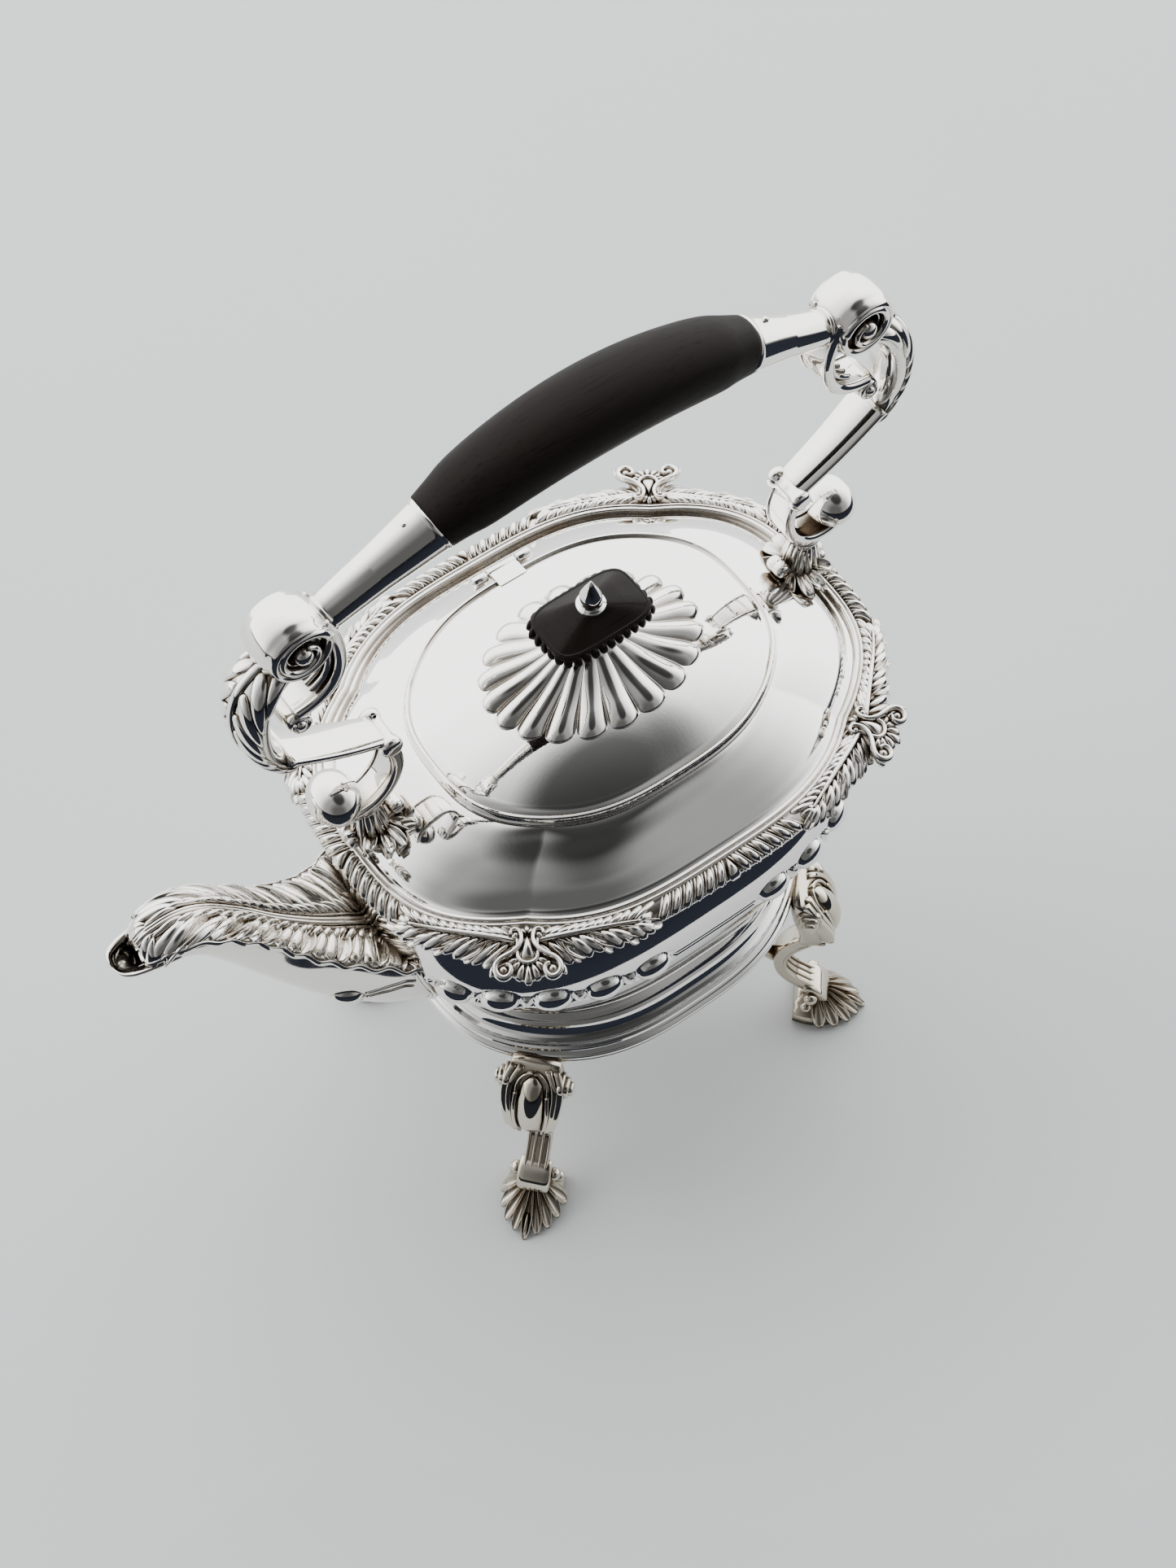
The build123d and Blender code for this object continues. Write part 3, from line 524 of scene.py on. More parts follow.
def corner_shell(part, chart):
    """Shell between two pairs of volutes at a corner of the border."""
    turn = full_turn(48)
    ring_a = 10.2 + 7.6 * np.cos(turn)
    ring_b = 8.4 * np.sin(turn) * np.interp(ring_a, [2.6, 6.0, 10.0, 15.0, 17.8], [0.5, 0.42, 0.62, 1.0, 0.9])
    rings = []
    for share, height in ((1.0, -1.9), (1.0, -0.5), (0.6, -0.1), (0.05, 0.0)):
        rings.append(chart(10.2 + (ring_a - 10.2) * share, ring_b * share, height))
    part.loops(np.array(rings))
    for side in (-1, 1):
        keys = [(4.7, 4.9), (3.4, 4.5), (3.2, 3.0), (4.5, 1.95), (7.0, 1.9), (9.2, 3.2), (11.2, 6.0),
                (12.8, 8.7), (14.9, 9.9), (17.1, 9.1), (17.9, 7.3), (16.9, 5.5), (14.9, 5.2), (13.9, 6.6)]
        line = smooth(keys, 70)
        along = np.linspace(0, 1, 70)
        rise = np.interp(along, [0, 0.2, 0.5, 1], [1.2, 1.5, 1.8, 1.5])
        path = chart(line[:, 0], side * line[:, 1], rise)
        tube(part, path, UPWARDS, 1.5, np.interp(along, [0, 0.5, 0.8, 1], [0.7, 0.95, 1.0, 0.7]))
        thin = chart(line[8:48, 0] + 1.1, side * (line[8:48, 1] + 1.2), rise[8:48] - 0.9)
        tube(part, thin, UPWARDS, 1.1, 0.6)
        for u, v, r in ((4.9, 3.5, 1.3), (15.3, 7.4, 1.8)):
            centre = chart(u, side * v, 0.4)
            revolve(part, [(0, -1.6), (r, -1.4), (r, 0.5), (0.8 * r, 1.3), (0.4 * r, 1.9), (0, 2.1)],
                    centre, count=20)
    petal(part, chart, (4.4, 0), 0, 8.4, 4.3, 2.5, blunt=0.3, neck=1.1, base=0.3)
    for heading in (130, 180, 230):
        petal(part, chart, (4.6, 0), heading, 3.0, 1.7, 1.7, blunt=0.5, base=0.2)
    cup = smooth([(9.7, -3.2), (12.2, -2.7), (13.5, 0), (12.2, 2.7), (9.7, 3.2)], 24)
    tube(part, chart(cup[:, 0], cup[:, 1], 1.1), UPWARDS, 1.1, 0.75)
    for heading, size in ((-76, 4.8), (-51, 4.6), (-25, 5.4), (0, 6.1), (25, 5.4), (51, 4.6), (76, 4.8)):
        at = math.radians(heading)
        petal(part, chart, (11.8 + 1.2 * math.cos(at), 1.9 * math.sin(at)), heading, size, 2.5, 2.1,
              blunt=0.28, neck=0.9, base=-0.2, lift=0.3)


def rim_border(material):
    part = Shape()
    profile = np.array(BORDER_PROFILE)
    grid = np.zeros((len(profile), 480, 3))
    grid[..., :2] = plan(REED_X + profile[:, 0], REED_Y + profile[:, 0], NOTCHED, 120)
    grid[..., 2] = profile[:, 1:]
    fine = np.concatenate([smooth_rows(grid[:8], 24), smooth_rows(grid[7:], 28)[1:]])
    part.loops(fine, ring_round=True)
    for side in range(4):
        chart, half = border_chart(side)
        gadroon(part, chart)
        side_leaf(part, chart, half)
        side_leaf(part, mirrored(chart, along=-1), half)
    for sx, sy in CORNERS:
        ahead = np.array([sx * math.cos(SHELL_HEADING), sy * math.sin(SHELL_HEADING)])
        across = np.array([-sy * math.sin(SHELL_HEADING), sx * math.cos(SHELL_HEADING)]) * sx * sy

        def chart(a, b, h, sx=sx, sy=sy, ahead=ahead, across=across):
            x, y = (CUSP[k] * (sx, sy)[k] + a * ahead[k] + b * across[k] for k in (0, 1))
            return xyz(x, y, 210.6 - 0.0085 * a * a + h)

        corner_shell(part, chart)
        u = np.linspace(3, 14.5, 12)
        back = chart(u, 0, -1.4)
        tube(part, back, (*across, 0), np.interp(u, [3, 8, 14.5], [3.0, 5.0, 6.6]), 0.9, BAR)
    part.make("rim_border_cast", "pot", material, ["rim_border"])


def smooth_rows(grid, rows):
    """More rows through a grid's rows, along smooth curves."""
    flat_keys = grid.reshape(len(grid), -1)
    at = np.concatenate(([0], np.cumsum(np.linalg.norm(np.diff(grid[:, 0], axis=0), axis=-1))))
    want = np.linspace(0, at[-1], rows)
    i = np.clip(np.searchsorted(at, want, "right") - 1, 0, len(at) - 2)
    f = ((want - at[i]) / (at[i + 1] - at[i]))[:, None]
    slope = np.gradient(flat_keys, at, axis=0)
    gap = (at[i + 1] - at[i])[:, None]
    a, b, c, d = 2 * f**3 - 3 * f**2 + 1, f**3 - 2 * f**2 + f, -2 * f**3 + 3 * f**2, f**3 - f**2
    out = a * flat_keys[i] + b * gap * slope[i] + c * flat_keys[i + 1] + d * gap * slope[i + 1]
    return out.reshape(rows, *grid.shape[1:])


# ---------------------------------------------------------------- pot: spout
# Rib of the leaf on top (x, z), underside (x, z), half width and crown of the leaf between its edges
SPOUT_STATIONS = [
    (-83.0, 154.5, -82.0, 121.0, 30.5, -15.0),
    (-90.0, 161.0, -97.0, 129.0, 26.6, -8.0),
    (-97.0, 168.6, -110.0, 143.0, 22.6, -3.6),
    (-104.8, 176.7, -120.5, 159.0, 19.4, -1.4),
    (-115.2, 189.9, -130.0, 177.6, 16.0, 0.0),
    (-122.6, 200.6, -136.6, 190.6, 13.6, 0.2),
    (-129.6, 212.0, -142.6, 203.4, 12.2, 0.6),
    (-136.5, 222.0, -148.0, 213.4, 11.3, 1.2),
    (-143.4, 230.0, -153.0, 219.4, 10.6, 2.0),
    (-148.4, 233.3, -156.6, 221.2, 9.9, 2.6),
    (-153.6, 234.4, -160.2, 222.2, 9.0, 3.2),
    (-157.6, 234.0, -163.0, 222.9, 8.2, 3.6),
]


def spout_rings(inset, rows, count=72):
    """Closed sections of the spout, drawn in by inset."""
    keys = smooth(SPOUT_STATIONS, rows, 4)
    rib = upright(keys)
    low = xyz(keys[:, 2], 0, keys[:, 3])
    up = unit(rib - low)
    depth = np.linalg.norm(rib - low, axis=1) - keys[:, 5] - inset
    half = keys[:, 4] - inset
    turn = full_turn(count)
    c, s = np.cos(turn), np.sin(turn)
    v = np.sign(c) * np.abs(c) ** 0.86
    top = s >= 0
    rise = np.where(top, (keys[:, 5] - inset)[:, None] * (1 - v**2), -depth[:, None] * np.abs(s) ** 0.94)
    edge = (rib - up * keys[:, 5:6])[:, None]
    sideways = v[None, :, None] * half[:, None, None] * np.array([0, 1.0, 0])
    return edge + sideways + rise[..., None] * up[:, None]


def spout_chart():
    """Chart of the spout's upper face: along the rib from the pot, sideways, height."""
    keys = smooth(SPOUT_STATIONS, 200, 4)
    tip = smooth([(-157.6, 234.0, 8.2, 3.6), (-161.0, 232.9, 7.0, 3.4), (-164.2, 230.4, 5.0, 3.0)], 20)
    rib = np.concatenate([keys[:, [0, 1]], tip[1:, :2]])
    low = np.concatenate([keys[:, [2, 3]], tip[1:, :2] + (-1.0, -11.0)])
    half = np.concatenate([keys[:, 4], tip[1:, 2]])
    crown = np.concatenate([keys[:, 5], tip[1:, 3]])
    at = run_length(rib)
    up = unit(rib - low)

    def chart(a, b, h):
        lines = (rib[:, 0], rib[:, 1], up[:, 0], up[:, 1], half, crown)
        x, z, ux, uz, w, c = (np.interp(a, at, k) for k in lines)
        v = b / w
        drop = -c * np.minimum(v * v, 1.0) - np.maximum(np.abs(b) - w, 0) * 1.3
        lift = drop + h
        return xyz(x + ux * lift, b, z + uz * lift)

    return chart, at, half


def spout(material):
    body = Shape()
    outer = spout_rings(0, 110)
    inner = spout_rings(WALL, 40)
    body.loops(np.concatenate([outer, inner[::-1]]), ring_round=True)
    # Lower lip of the mouth: an open trough that runs past the leaf
    keys = smooth([(-154.0, 221.6, 227.6, 9.2), (-160.0, 221.9, 227.8, 8.4), (-165.5, 222.6, 228.0, 7.4),
                   (-169.6, 223.8, 228.2, 6.0), (-171.8, 225.4, 228.5, 3.8), (-172.4, 227.0, 228.6, 1.4)],
                  40, 2)
    angle = np.linspace(0, np.pi, 26)
    out_v, out_h = np.cos(angle), -np.sin(angle)
    rings = []
    for x, low, top, half in keys:
        thick = min(WALL, half * 0.6)
        outside = xyz(x, out_v * half, top + out_h * (top - low))
        inside = xyz(x, out_v * (half - thick), top + out_h * (top - low - thick))
        rings.append(np.concatenate([outside, inside[::-1]]))
    body.loops(np.array(rings))
    # Bead where the spout meets the body
    seam = []
    for j in range(outer.shape[1]):
        line = outer[:, j]
        out = line[:, 0] < left_wall(line[:, 1], line[:, 2])
        seam.append(line[np.argmax(out)])
    seam = np.array(seam)
    for _ in range(3):
        seam = (np.roll(seam, 1, axis=0) + 2 * seam + np.roll(seam, -1, axis=0)) / 4
    ring = np.concatenate([seam, seam[:1]])
    outward = unit(np.gradient(ring, axis=0))
    side = unit(np.cross(outward, (1, 0, 0)))
    tube(body, ring + np.array([-0.3, 0, 0]), side, 1.3, 1.0)
    tube(body, ring + np.array([-1.6, 0, 0]) - side * 0.2, side, 0.55, 0.55)
    # Boss and reeds on each side, level with the body's band
    faces = normals(outer)

    def on_side(x, y, z):
        gap = np.linalg.norm(outer - (x, y, z), axis=-1)
        row, column = np.unravel_index(np.argmin(gap), gap.shape)
        out = faces[row, column]
        out = out if out[1] * y > 0 else -out
        return outer[row, column], out

    for hand in (-1, 1):
        keys = smooth([(-90, 27.8, 160.5), (-97, 24.6, 158.6), (-104.0, 21.4, 156.6)], 16)
        for shift in (-1.7, 1.7):
            line = np.array([on_side(x, hand * y, z + shift)[0] for x, y, z in keys])
            for _ in range(4):
                line[1:-1] = (line[:-2] + 2 * line[1:-1] + line[2:]) / 4
            tube(body, line, UPWARDS, 0.6, 0.5)
        spot, out = on_side(-110.4, hand * 18.0, 155.2)
        revolve(body, [(0, -2.5), (6.2, -1.6), (6.2, -0.4), (5.4, 0.9), (3.8, 1.9), (1.8, 2.4), (0, 2.5)],
                spot, out, 32)
    body.make("spout_shell", "pot", material, ["spout"])

    leaf = Shape()
    chart, at, half = spout_chart()
    end = at[-1]
    t = np.linspace(0, end - 1.0, 160)
    wide = np.interp(t, at, half)
    # Base skin of the leaf, with edges that overhang the sides
    v = np.linspace(-1, 1, 25)
    over = 1.02 + 0.02 * np.sin(t * 0.55)
    along = np.repeat(t[:, None], 25, axis=1)
    surface = chart(along, v * (wide * over)[:, None], 0.5)
    under = chart(along, v * (wide * 0.98)[:, None], -0.6)
    leaf.loops(np.concatenate([surface, under[:, ::-1]], axis=1))
    for side in (-1, 1):
        tube(leaf, chart(t, side * wide * (over + 0.01), 0.2), UPWARDS, 1.0, 0.55)
        for k, girth in ((0.35, 1.0), (1.25, 0.6)):
            b = side * k * np.interp(t, [0, end], [2.6, 1.3])
            tube(leaf, chart(t, b, 1.3 - 0.4 * k), ACROSS, girth * np.interp(t, [0, end], [1.2, 0.6]), 1.0)
        wing = mirrored(chart, across=side)
        # Groups of four fingers, each group one lobe of the leaf
        for k in range(int((end - 3) / 4.2)):
            a = max(4.2 * k - 8.0, 0.4 * k)
            rank = k % 4
            w = float(np.interp(a + 6, at, half))
            start = 0.08 * w + 1.0
            turn = float(np.interp(w, [8, 12, 16, 24], [20, 26, 38, 50])) + 6 - 4.0 * rank
            reach = (w * (0.86 - 0.03 * rank) - start) / math.sin(math.radians(turn - 4))
            size = float(np.interp(w, [8, 14, 24], [3.6, 4.6, 6.0]))
            room = max(0.9 * (end - a), 4.0)
            petal(leaf, wing, (a, start), turn, min(reach, 26.0, room), size, 2.7, bend=-12, blunt=0.36,
                  neck=0.5, form=CUPPED if rank in (0, 3) else ROUND, lift=0.5, rows=20)
            petal(leaf, wing, (a + 1.4, start - 0.3), turn - 14, min(0.55 * reach, room - 1.4),
                  0.5 * size, 3.0, bend=-8, blunt=0.5, neck=0.6, base=0.2)
    for heading in (-40, -20, 0, 20, 40):
        petal(leaf, chart, (end - 7.5, heading * 0.05), heading, 7.6, 3.3, 1.9, blunt=0.35, base=0.4)
    leaf.make("spout_leaf", "pot", material)


# ---------------------------------------------------------------- lid
LID_EDGE = oval(13.9, [(226.95, 58.6), (226.95, 60.1), (227.35, 60.5), (227.8, 60.3), (228.1, 59.85),
                       (229.6, 59.6), (230.0, 59.75), (230.5, 59.5), (230.65, 58.9), (230.2, 58.4),
                       (228.2, 58.2)])
LID_HALF = (58.0, 44.1)
LID_TOP = 242.4
LID_RISE = 12.1


def dome_z(share):
    """Height of the lid's dome at a share of the way from its middle to its edge."""
    return LID_TOP - LID_RISE * share**2.15


def lid(material, edge_material):
    edge = Shape()
    edge.loops(skin(LID_EDGE, 50, 120, straight), ring_round=True)
    edge.make("lid_edge_band", "lid", edge_material)
    part = Shape()
    share = np.linspace(0.985, 0.03, 80)
    dome = np.zeros((80, 480, 3))
    dome[..., :2] = plan(LID_HALF[0] * share, LID_HALF[1] * share, OVAL, 120)
    dome[..., 2] = dome_z(share)[:, None]
    inside = np.zeros((24, 480, 3))
    inner = np.linspace(0.03, 0.99, 24)
    inside[..., :2] = plan(57.6 * inner, 43.8 * inner, OVAL, 120)
    inside[..., 2] = dome_z(inner)[:, None] - 1.4
    dome[:2, :, :2] = plan([58.6, 58.3], [44.7, 44.4], OVAL, 120)
    dome[:2, :, 2] = [[229.4], [230.4]]
    part.loops(np.concatenate([dome, inside]), ring_round=True)
    part.make("lid_dome_skin", "lid", material, ["lid_dome"])

    bezel = Shape()
    rows = oval(13.8, [(227.6, 55.7), (221.2, 55.7), (220.6, 55.4), (220.7, 54.9), (227.6, 54.6)])
    bezel.loops(skin(rows, 20, 120, straight), ring_round=True)
    bezel.make("lid_bezel_band", "lid", material, ["lid_bezel"])


HINGE_Y = 49.4
HINGE_Z = 229.4


def hinge(material):
    lugs = Shape()
    for hand in (-1, 1):
        profile = [(0, 5.9), (1.7, 5.95), (1.85, 6.3), (1.85, 10.6), (1.7, 11.0), (0, 11.05)]
        revolve(lugs, profile, (0, HINGE_Y, HINGE_Z), (hand, 0, 0), 32)
        path = [(hand * 8.4, 49.4, 229.0), (hand * 8.4, 49.6, 227.6), (hand * 8.4, 49.9, 225.6)]
        tube(lugs, smooth(path, 8), (1, 0, 0), 2.5, 1.0, BAR)
    lugs.make("hinge_lug_knuckles", "pot", material, ["hinge_lugs"])
    pin = Shape()
    revolve(pin, [(0, -11.5), (0.55, -11.5), (0.8, -11.2), (0.8, 11.2), (0.55, 11.5), (0, 11.5)],
            (0, HINGE_Y, HINGE_Z), (1, 0, 0), 24)
    pin.make("hinge_pin_rod", "pot", material, ["hinge_pin"])
    flap = Shape()
    revolve(flap, [(0.95, -5.3), (1.7, -5.3), (1.85, -5.0), (1.85, 5.0), (1.7, 5.3), (0.95, 5.3)],
            (0, HINGE_Y, HINGE_Z), (1, 0, 0), 32)
    rows = []
    form = oval_form(9, 28)
    for y, low, high in ((49.2, 228.9, 230.9), (47.6, 229.0, 231.2), (45.6, 229.6, 231.5),
                         (43.4, 230.0, 231.7), (42.0, 230.4, 231.7)):
        rows.append(xyz(form[:, 0] * 5.1, y, (low + high) / 2 + form[:, 1] * (high - low) / 2))
    flap.loops(smooth_rows(np.array(rows), 24))
    flap.make("lid_flap", "lid", material, ["lid_hinge_flap"])


FLUTES = 20
FINIAL_POWER = 4.6
GADROONS = 34
GADROON_LINE = (17.0, 10.5)


def finial(silver, cast, ebony):
    skirt = Shape()
    rows = 60
    count = 480
    share = np.linspace(0, 1, rows)
    keys = smooth([(37.4, 27.2, 239.4), (33.0, 23.6, 241.5), (27.0, 19.0, 243.6), (20.0, 13.8, 246.4),
                   (14.6, 9.8, 249.2), (11.2, 7.4, 251.4), (10.6, 6.9, 252.3)], rows)
    turn = full_turn(count)
    wave = np.abs(np.sin(turn * FLUTES / 2))[None, :]
    fade = (1 - share)[:, None]
    scallop = 1 + 0.085 * (wave**0.7 - 0.72) * fade**1.5
    x = keys[:, :1] * scallop * np.cos(turn)
    y = keys[:, 1:2] * scallop * np.sin(turn)
    puff = (2.3 * fade**0.5 * (0.3 + 0.7 * np.clip(keys[:, :1] / 30, 0, 1))) * (wave**0.75 - 0.6)
    edge = -1.5 * np.exp(-share * 22)[:, None] * wave**0.8
    z = keys[:, 2:3] + puff + edge
    floor = dome_z(np.hypot(x / LID_HALF[0], y / LID_HALF[1])) + 0.15
    top = xyz(x, y, np.maximum(z, floor))
    under_x = x[:: rows // 12] * 0.985
    under_y = y[:: rows // 12] * 0.985
    under = xyz(under_x, under_y, dome_z(np.hypot(under_x / LID_HALF[0], under_y / LID_HALF[1])) - 0.5)
    skirt.loops(np.concatenate([top, under[::-1]]), ring_round=True)
    skirt.make("finial_skirt_flutes", "lid", cast, ["finial_skirt"])

    block = Shape()
    keys = [(252.2, 11.2, 6.9), (254.6, 12.4, 7.8), (257.0, 15.0, 9.2), (258.2, 16.2, 9.9),
            (258.9, 17.2, 10.7), (260.6, 17.7, 11.2), (261.6, 17.5, 11.0), (262.1, 16.9, 10.4),
            (262.0, 16.5, 10.0), (262.2, 16.1, 9.6), (264.7, 10.0, 6.2), (266.6, 4.6, 3.6)]
    outline = oval_form(FINIAL_POWER, 240)
    rows = []
    for z, hx, hy in straight([(x, y, z) for z, x, y in keys], 80)[:, [2, 0, 1]]:
        rows.append(xyz(outline[:, 0] * hx, outline[:, 1] * hy, z))
    block.loops(np.array(rows))
    # Lobes of the gadrooned edge, spread evenly round it
    loop = squarish(np.linspace(0, 2 * np.pi, 2000), FINIAL_POWER) * GADROON_LINE
    length = run_length(loop)
    for k in range(GADROONS):
        at = length[-1] * k / GADROONS
        p = np.array([np.interp(at, length, loop[:, 0]), np.interp(at, length, loop[:, 1])])
        out = unit(p / np.array(GADROON_LINE) ** 2)
        chart = flat((p[0] - 0.2 * out[0], p[1] - 0.2 * out[1], 261.6),
                     (out[0] * 0.3 - 0.35 * out[1], out[1] * 0.3 + 0.35 * out[0], -1), (*out, 0.45))
        petal(block, chart, (-0.3, 0), 0, 4.4, 2.6, 1.0, blunt=0.35, neck=0.5, sink=1.4, rows=12)
    block.make("finial_block_ebony", "lid", ebony, ["finial_block"])

    nut = Shape()
    revolve(nut, [(0, 265.6), (4.5, 265.6), (4.75, 266.2), (4.7, 266.9), (4.3, 267.3), (3.6, 267.4),
                  (3.45, 267.8), (3.4, 269.0), (3.45, 271.0), (3.3, 271.4), (2.3, 273.6), (1.1, 276.0),
                  (0.35, 277.6), (0, 278.0)], count=40)
    nut.make("finial_nut_cone", "lid", silver, ["finial_nut"])
    rod = Shape()
    revolve(rod, [(0, 235.4), (1.2, 235.4), (1.5, 235.8), (1.5, 265.2), (0, 265.3)], count=24)
    rod.make("finial_rod_screw", "lid", silver, ["finial_rod"])
    clamp = Shape()
    rows = []
    for r, z, sides in ((3.6, 236.5, 6), (4.0, 236.8, 6), (4.0, 239.0, 6), (5.0, 239.1, 0), (5.0, 240.1, 0)):
        a = full_turn(72)
        reach = np.cos(np.pi / 6) / np.cos((a % (np.pi / 3)) - np.pi / 6) if sides else 1.0
        rows.append(xyz(r * reach * np.cos(a), r * reach * np.sin(a), z))
    clamp.loops(np.array(rows))
    clamp.make("finial_clamp_nut_hex", "lid", silver, ["finial_clamp_nut"])


# ---------------------------------------------------------------- handle
GRIP_HALF = 51.0
GRIP_END_Z = 346.9
GRIP_TOP_Z = 356.5
SOCKET_END = (84.0, 334.6)
VOLUTE = (94.4, 333.6)
RIBBON_ROLL = (99.4, 302.0)
OVOID = (93.4, 245.6)
HANDLE_LEAN = 2.8
PIN_SETBACK = 6.0


def handle_place(hand):
    """Puts one half of the handle, drawn on the +X side; its top leans a little towards the spout."""

    def place(p):
        q = p * np.array([hand, 1.0, 1.0])
        q[:, 0] -= HANDLE_LEAN * step(q[:, 2], 262, 325) * step(np.abs(q[:, 0]), 50, 80)
        return q

    return place


def scroll_faces(part, centre, radius, at, hand_turn, turns=1.35, thick=1.0, start=0.0, button=2.2,
                 proud=1.4):
    """A spiral ridge and a button on both ends of a rolled scroll whose axis is along Y."""
    cx, cz = centre
    t = np.linspace(0, 1, 60)
    angle = start + hand_turn * turns * 2 * np.pi * t
    r = radius * (1 - t) + (button + 0.4) * t
    for side in (-1, 1):
        path = xyz(cx + r * np.cos(angle), side * at + side * 0.3 * t, cz + r * np.sin(angle))
        tube(part, path, ACROSS, thick, thick * (1 - 0.45 * t))
        revolve(part, [(0, -2.0), (button, -1.8), (button, 0.2), (0.75 * button, 0.75 * proud),
                       (0.4 * button, proud), (0, 1.1 * proud)], (cx, side * at, cz), (0, side, 0), 24)


def barrel(part, centre, profile):
    """Round bar along Y, given as half of its profile from the middle (y, radius)."""
    half = [tuple(p) for p in smooth(profile, 14)]
    end = half[-1][0]
    full = [(0, -end), *((r, -y) for y, r in reversed(half)), *((r, y) for y, r in half[1:]), (0, end)]
    revolve(part, full, (centre[0], 0, centre[1]), ACROSS, 56)


def raised_ribbon(part, keys, half_width, half_height, count=70, edge=0.9, taper=None):
    """Strap across the handle's plane, with a bead along each edge."""
    line = smooth(keys, count)
    path = upright(line)
    width = half_width if taper is None else half_width * np.interp(np.linspace(0, 1, count), *taper)
    width = np.broadcast_to(width, count)
    tube(part, path, ACROSS, width, half_height, BAR)
    for side in (-1, 1):
        shifted = path + xyz(0, side * (width - edge * 0.8), 0)
        tube(part, shifted, ACROSS, edge, half_height + 0.55)


def leaf_round(part, keys, reach, fingers, length, width):
    """Acanthus leaf wrapped round a curved stem. Keys are (x, z, half width, half thickness)."""
    rows = smooth(keys, 80, 2)
    path = upright(rows)
    along = unit(np.gradient(path, axis=0))
    out = np.cross(np.array([0, 1.0, 0]), along) * reach
    at = run_length(path)
    tube(part, path, ACROSS, rows[:, 2], rows[:, 3])

    def chart(a, b, h):
        lines = (path[:, 0], path[:, 2], out[:, 0], out[:, 2], rows[:, 2], rows[:, 3])
        px, pz, ox, oz, w, t = (np.interp(a, at, k) for k in lines)
        turn = np.clip(b / np.maximum(w, 2.0), -2.3, 2.3)
        y = (w + h) * np.sin(turn)
        n = (t + h) * np.cos(turn)
        return xyz(px + ox * n, y, pz + oz * n)

    end = at[-1]
    t = np.linspace(1.0, end - 1.0, 60)
    tube(part, chart(t, 0, 0.4), ACROSS, np.interp(t, [0, end], [1.5, 0.7]), 0.9)
    for side in (-1, 1):
        wing = mirrored(chart, across=side)
        for k in range(fingers):
            a = 0.3 + (end - length * 0.66) * k / (fingers - 1)
            petal(part, wing, (a, 0.6), 46 - 16 * k / fingers, length * (1 - 0.35 * k / fingers), width,
                  1.5, bend=-30, blunt=0.5, neck=0.4, lift=0.3, sink=1.6, rows=20)


BEVELLED = np.array([(-0.9, -1), (-1, -0.7), (-1, 0.1), (-0.97, 0.25), (-0.62, 0.95), (-0.55, 1),
                     (0.55, 1), (0.62, 0.95), (0.97, 0.25), (1, 0.1), (1, -0.7), (0.9, -1)])


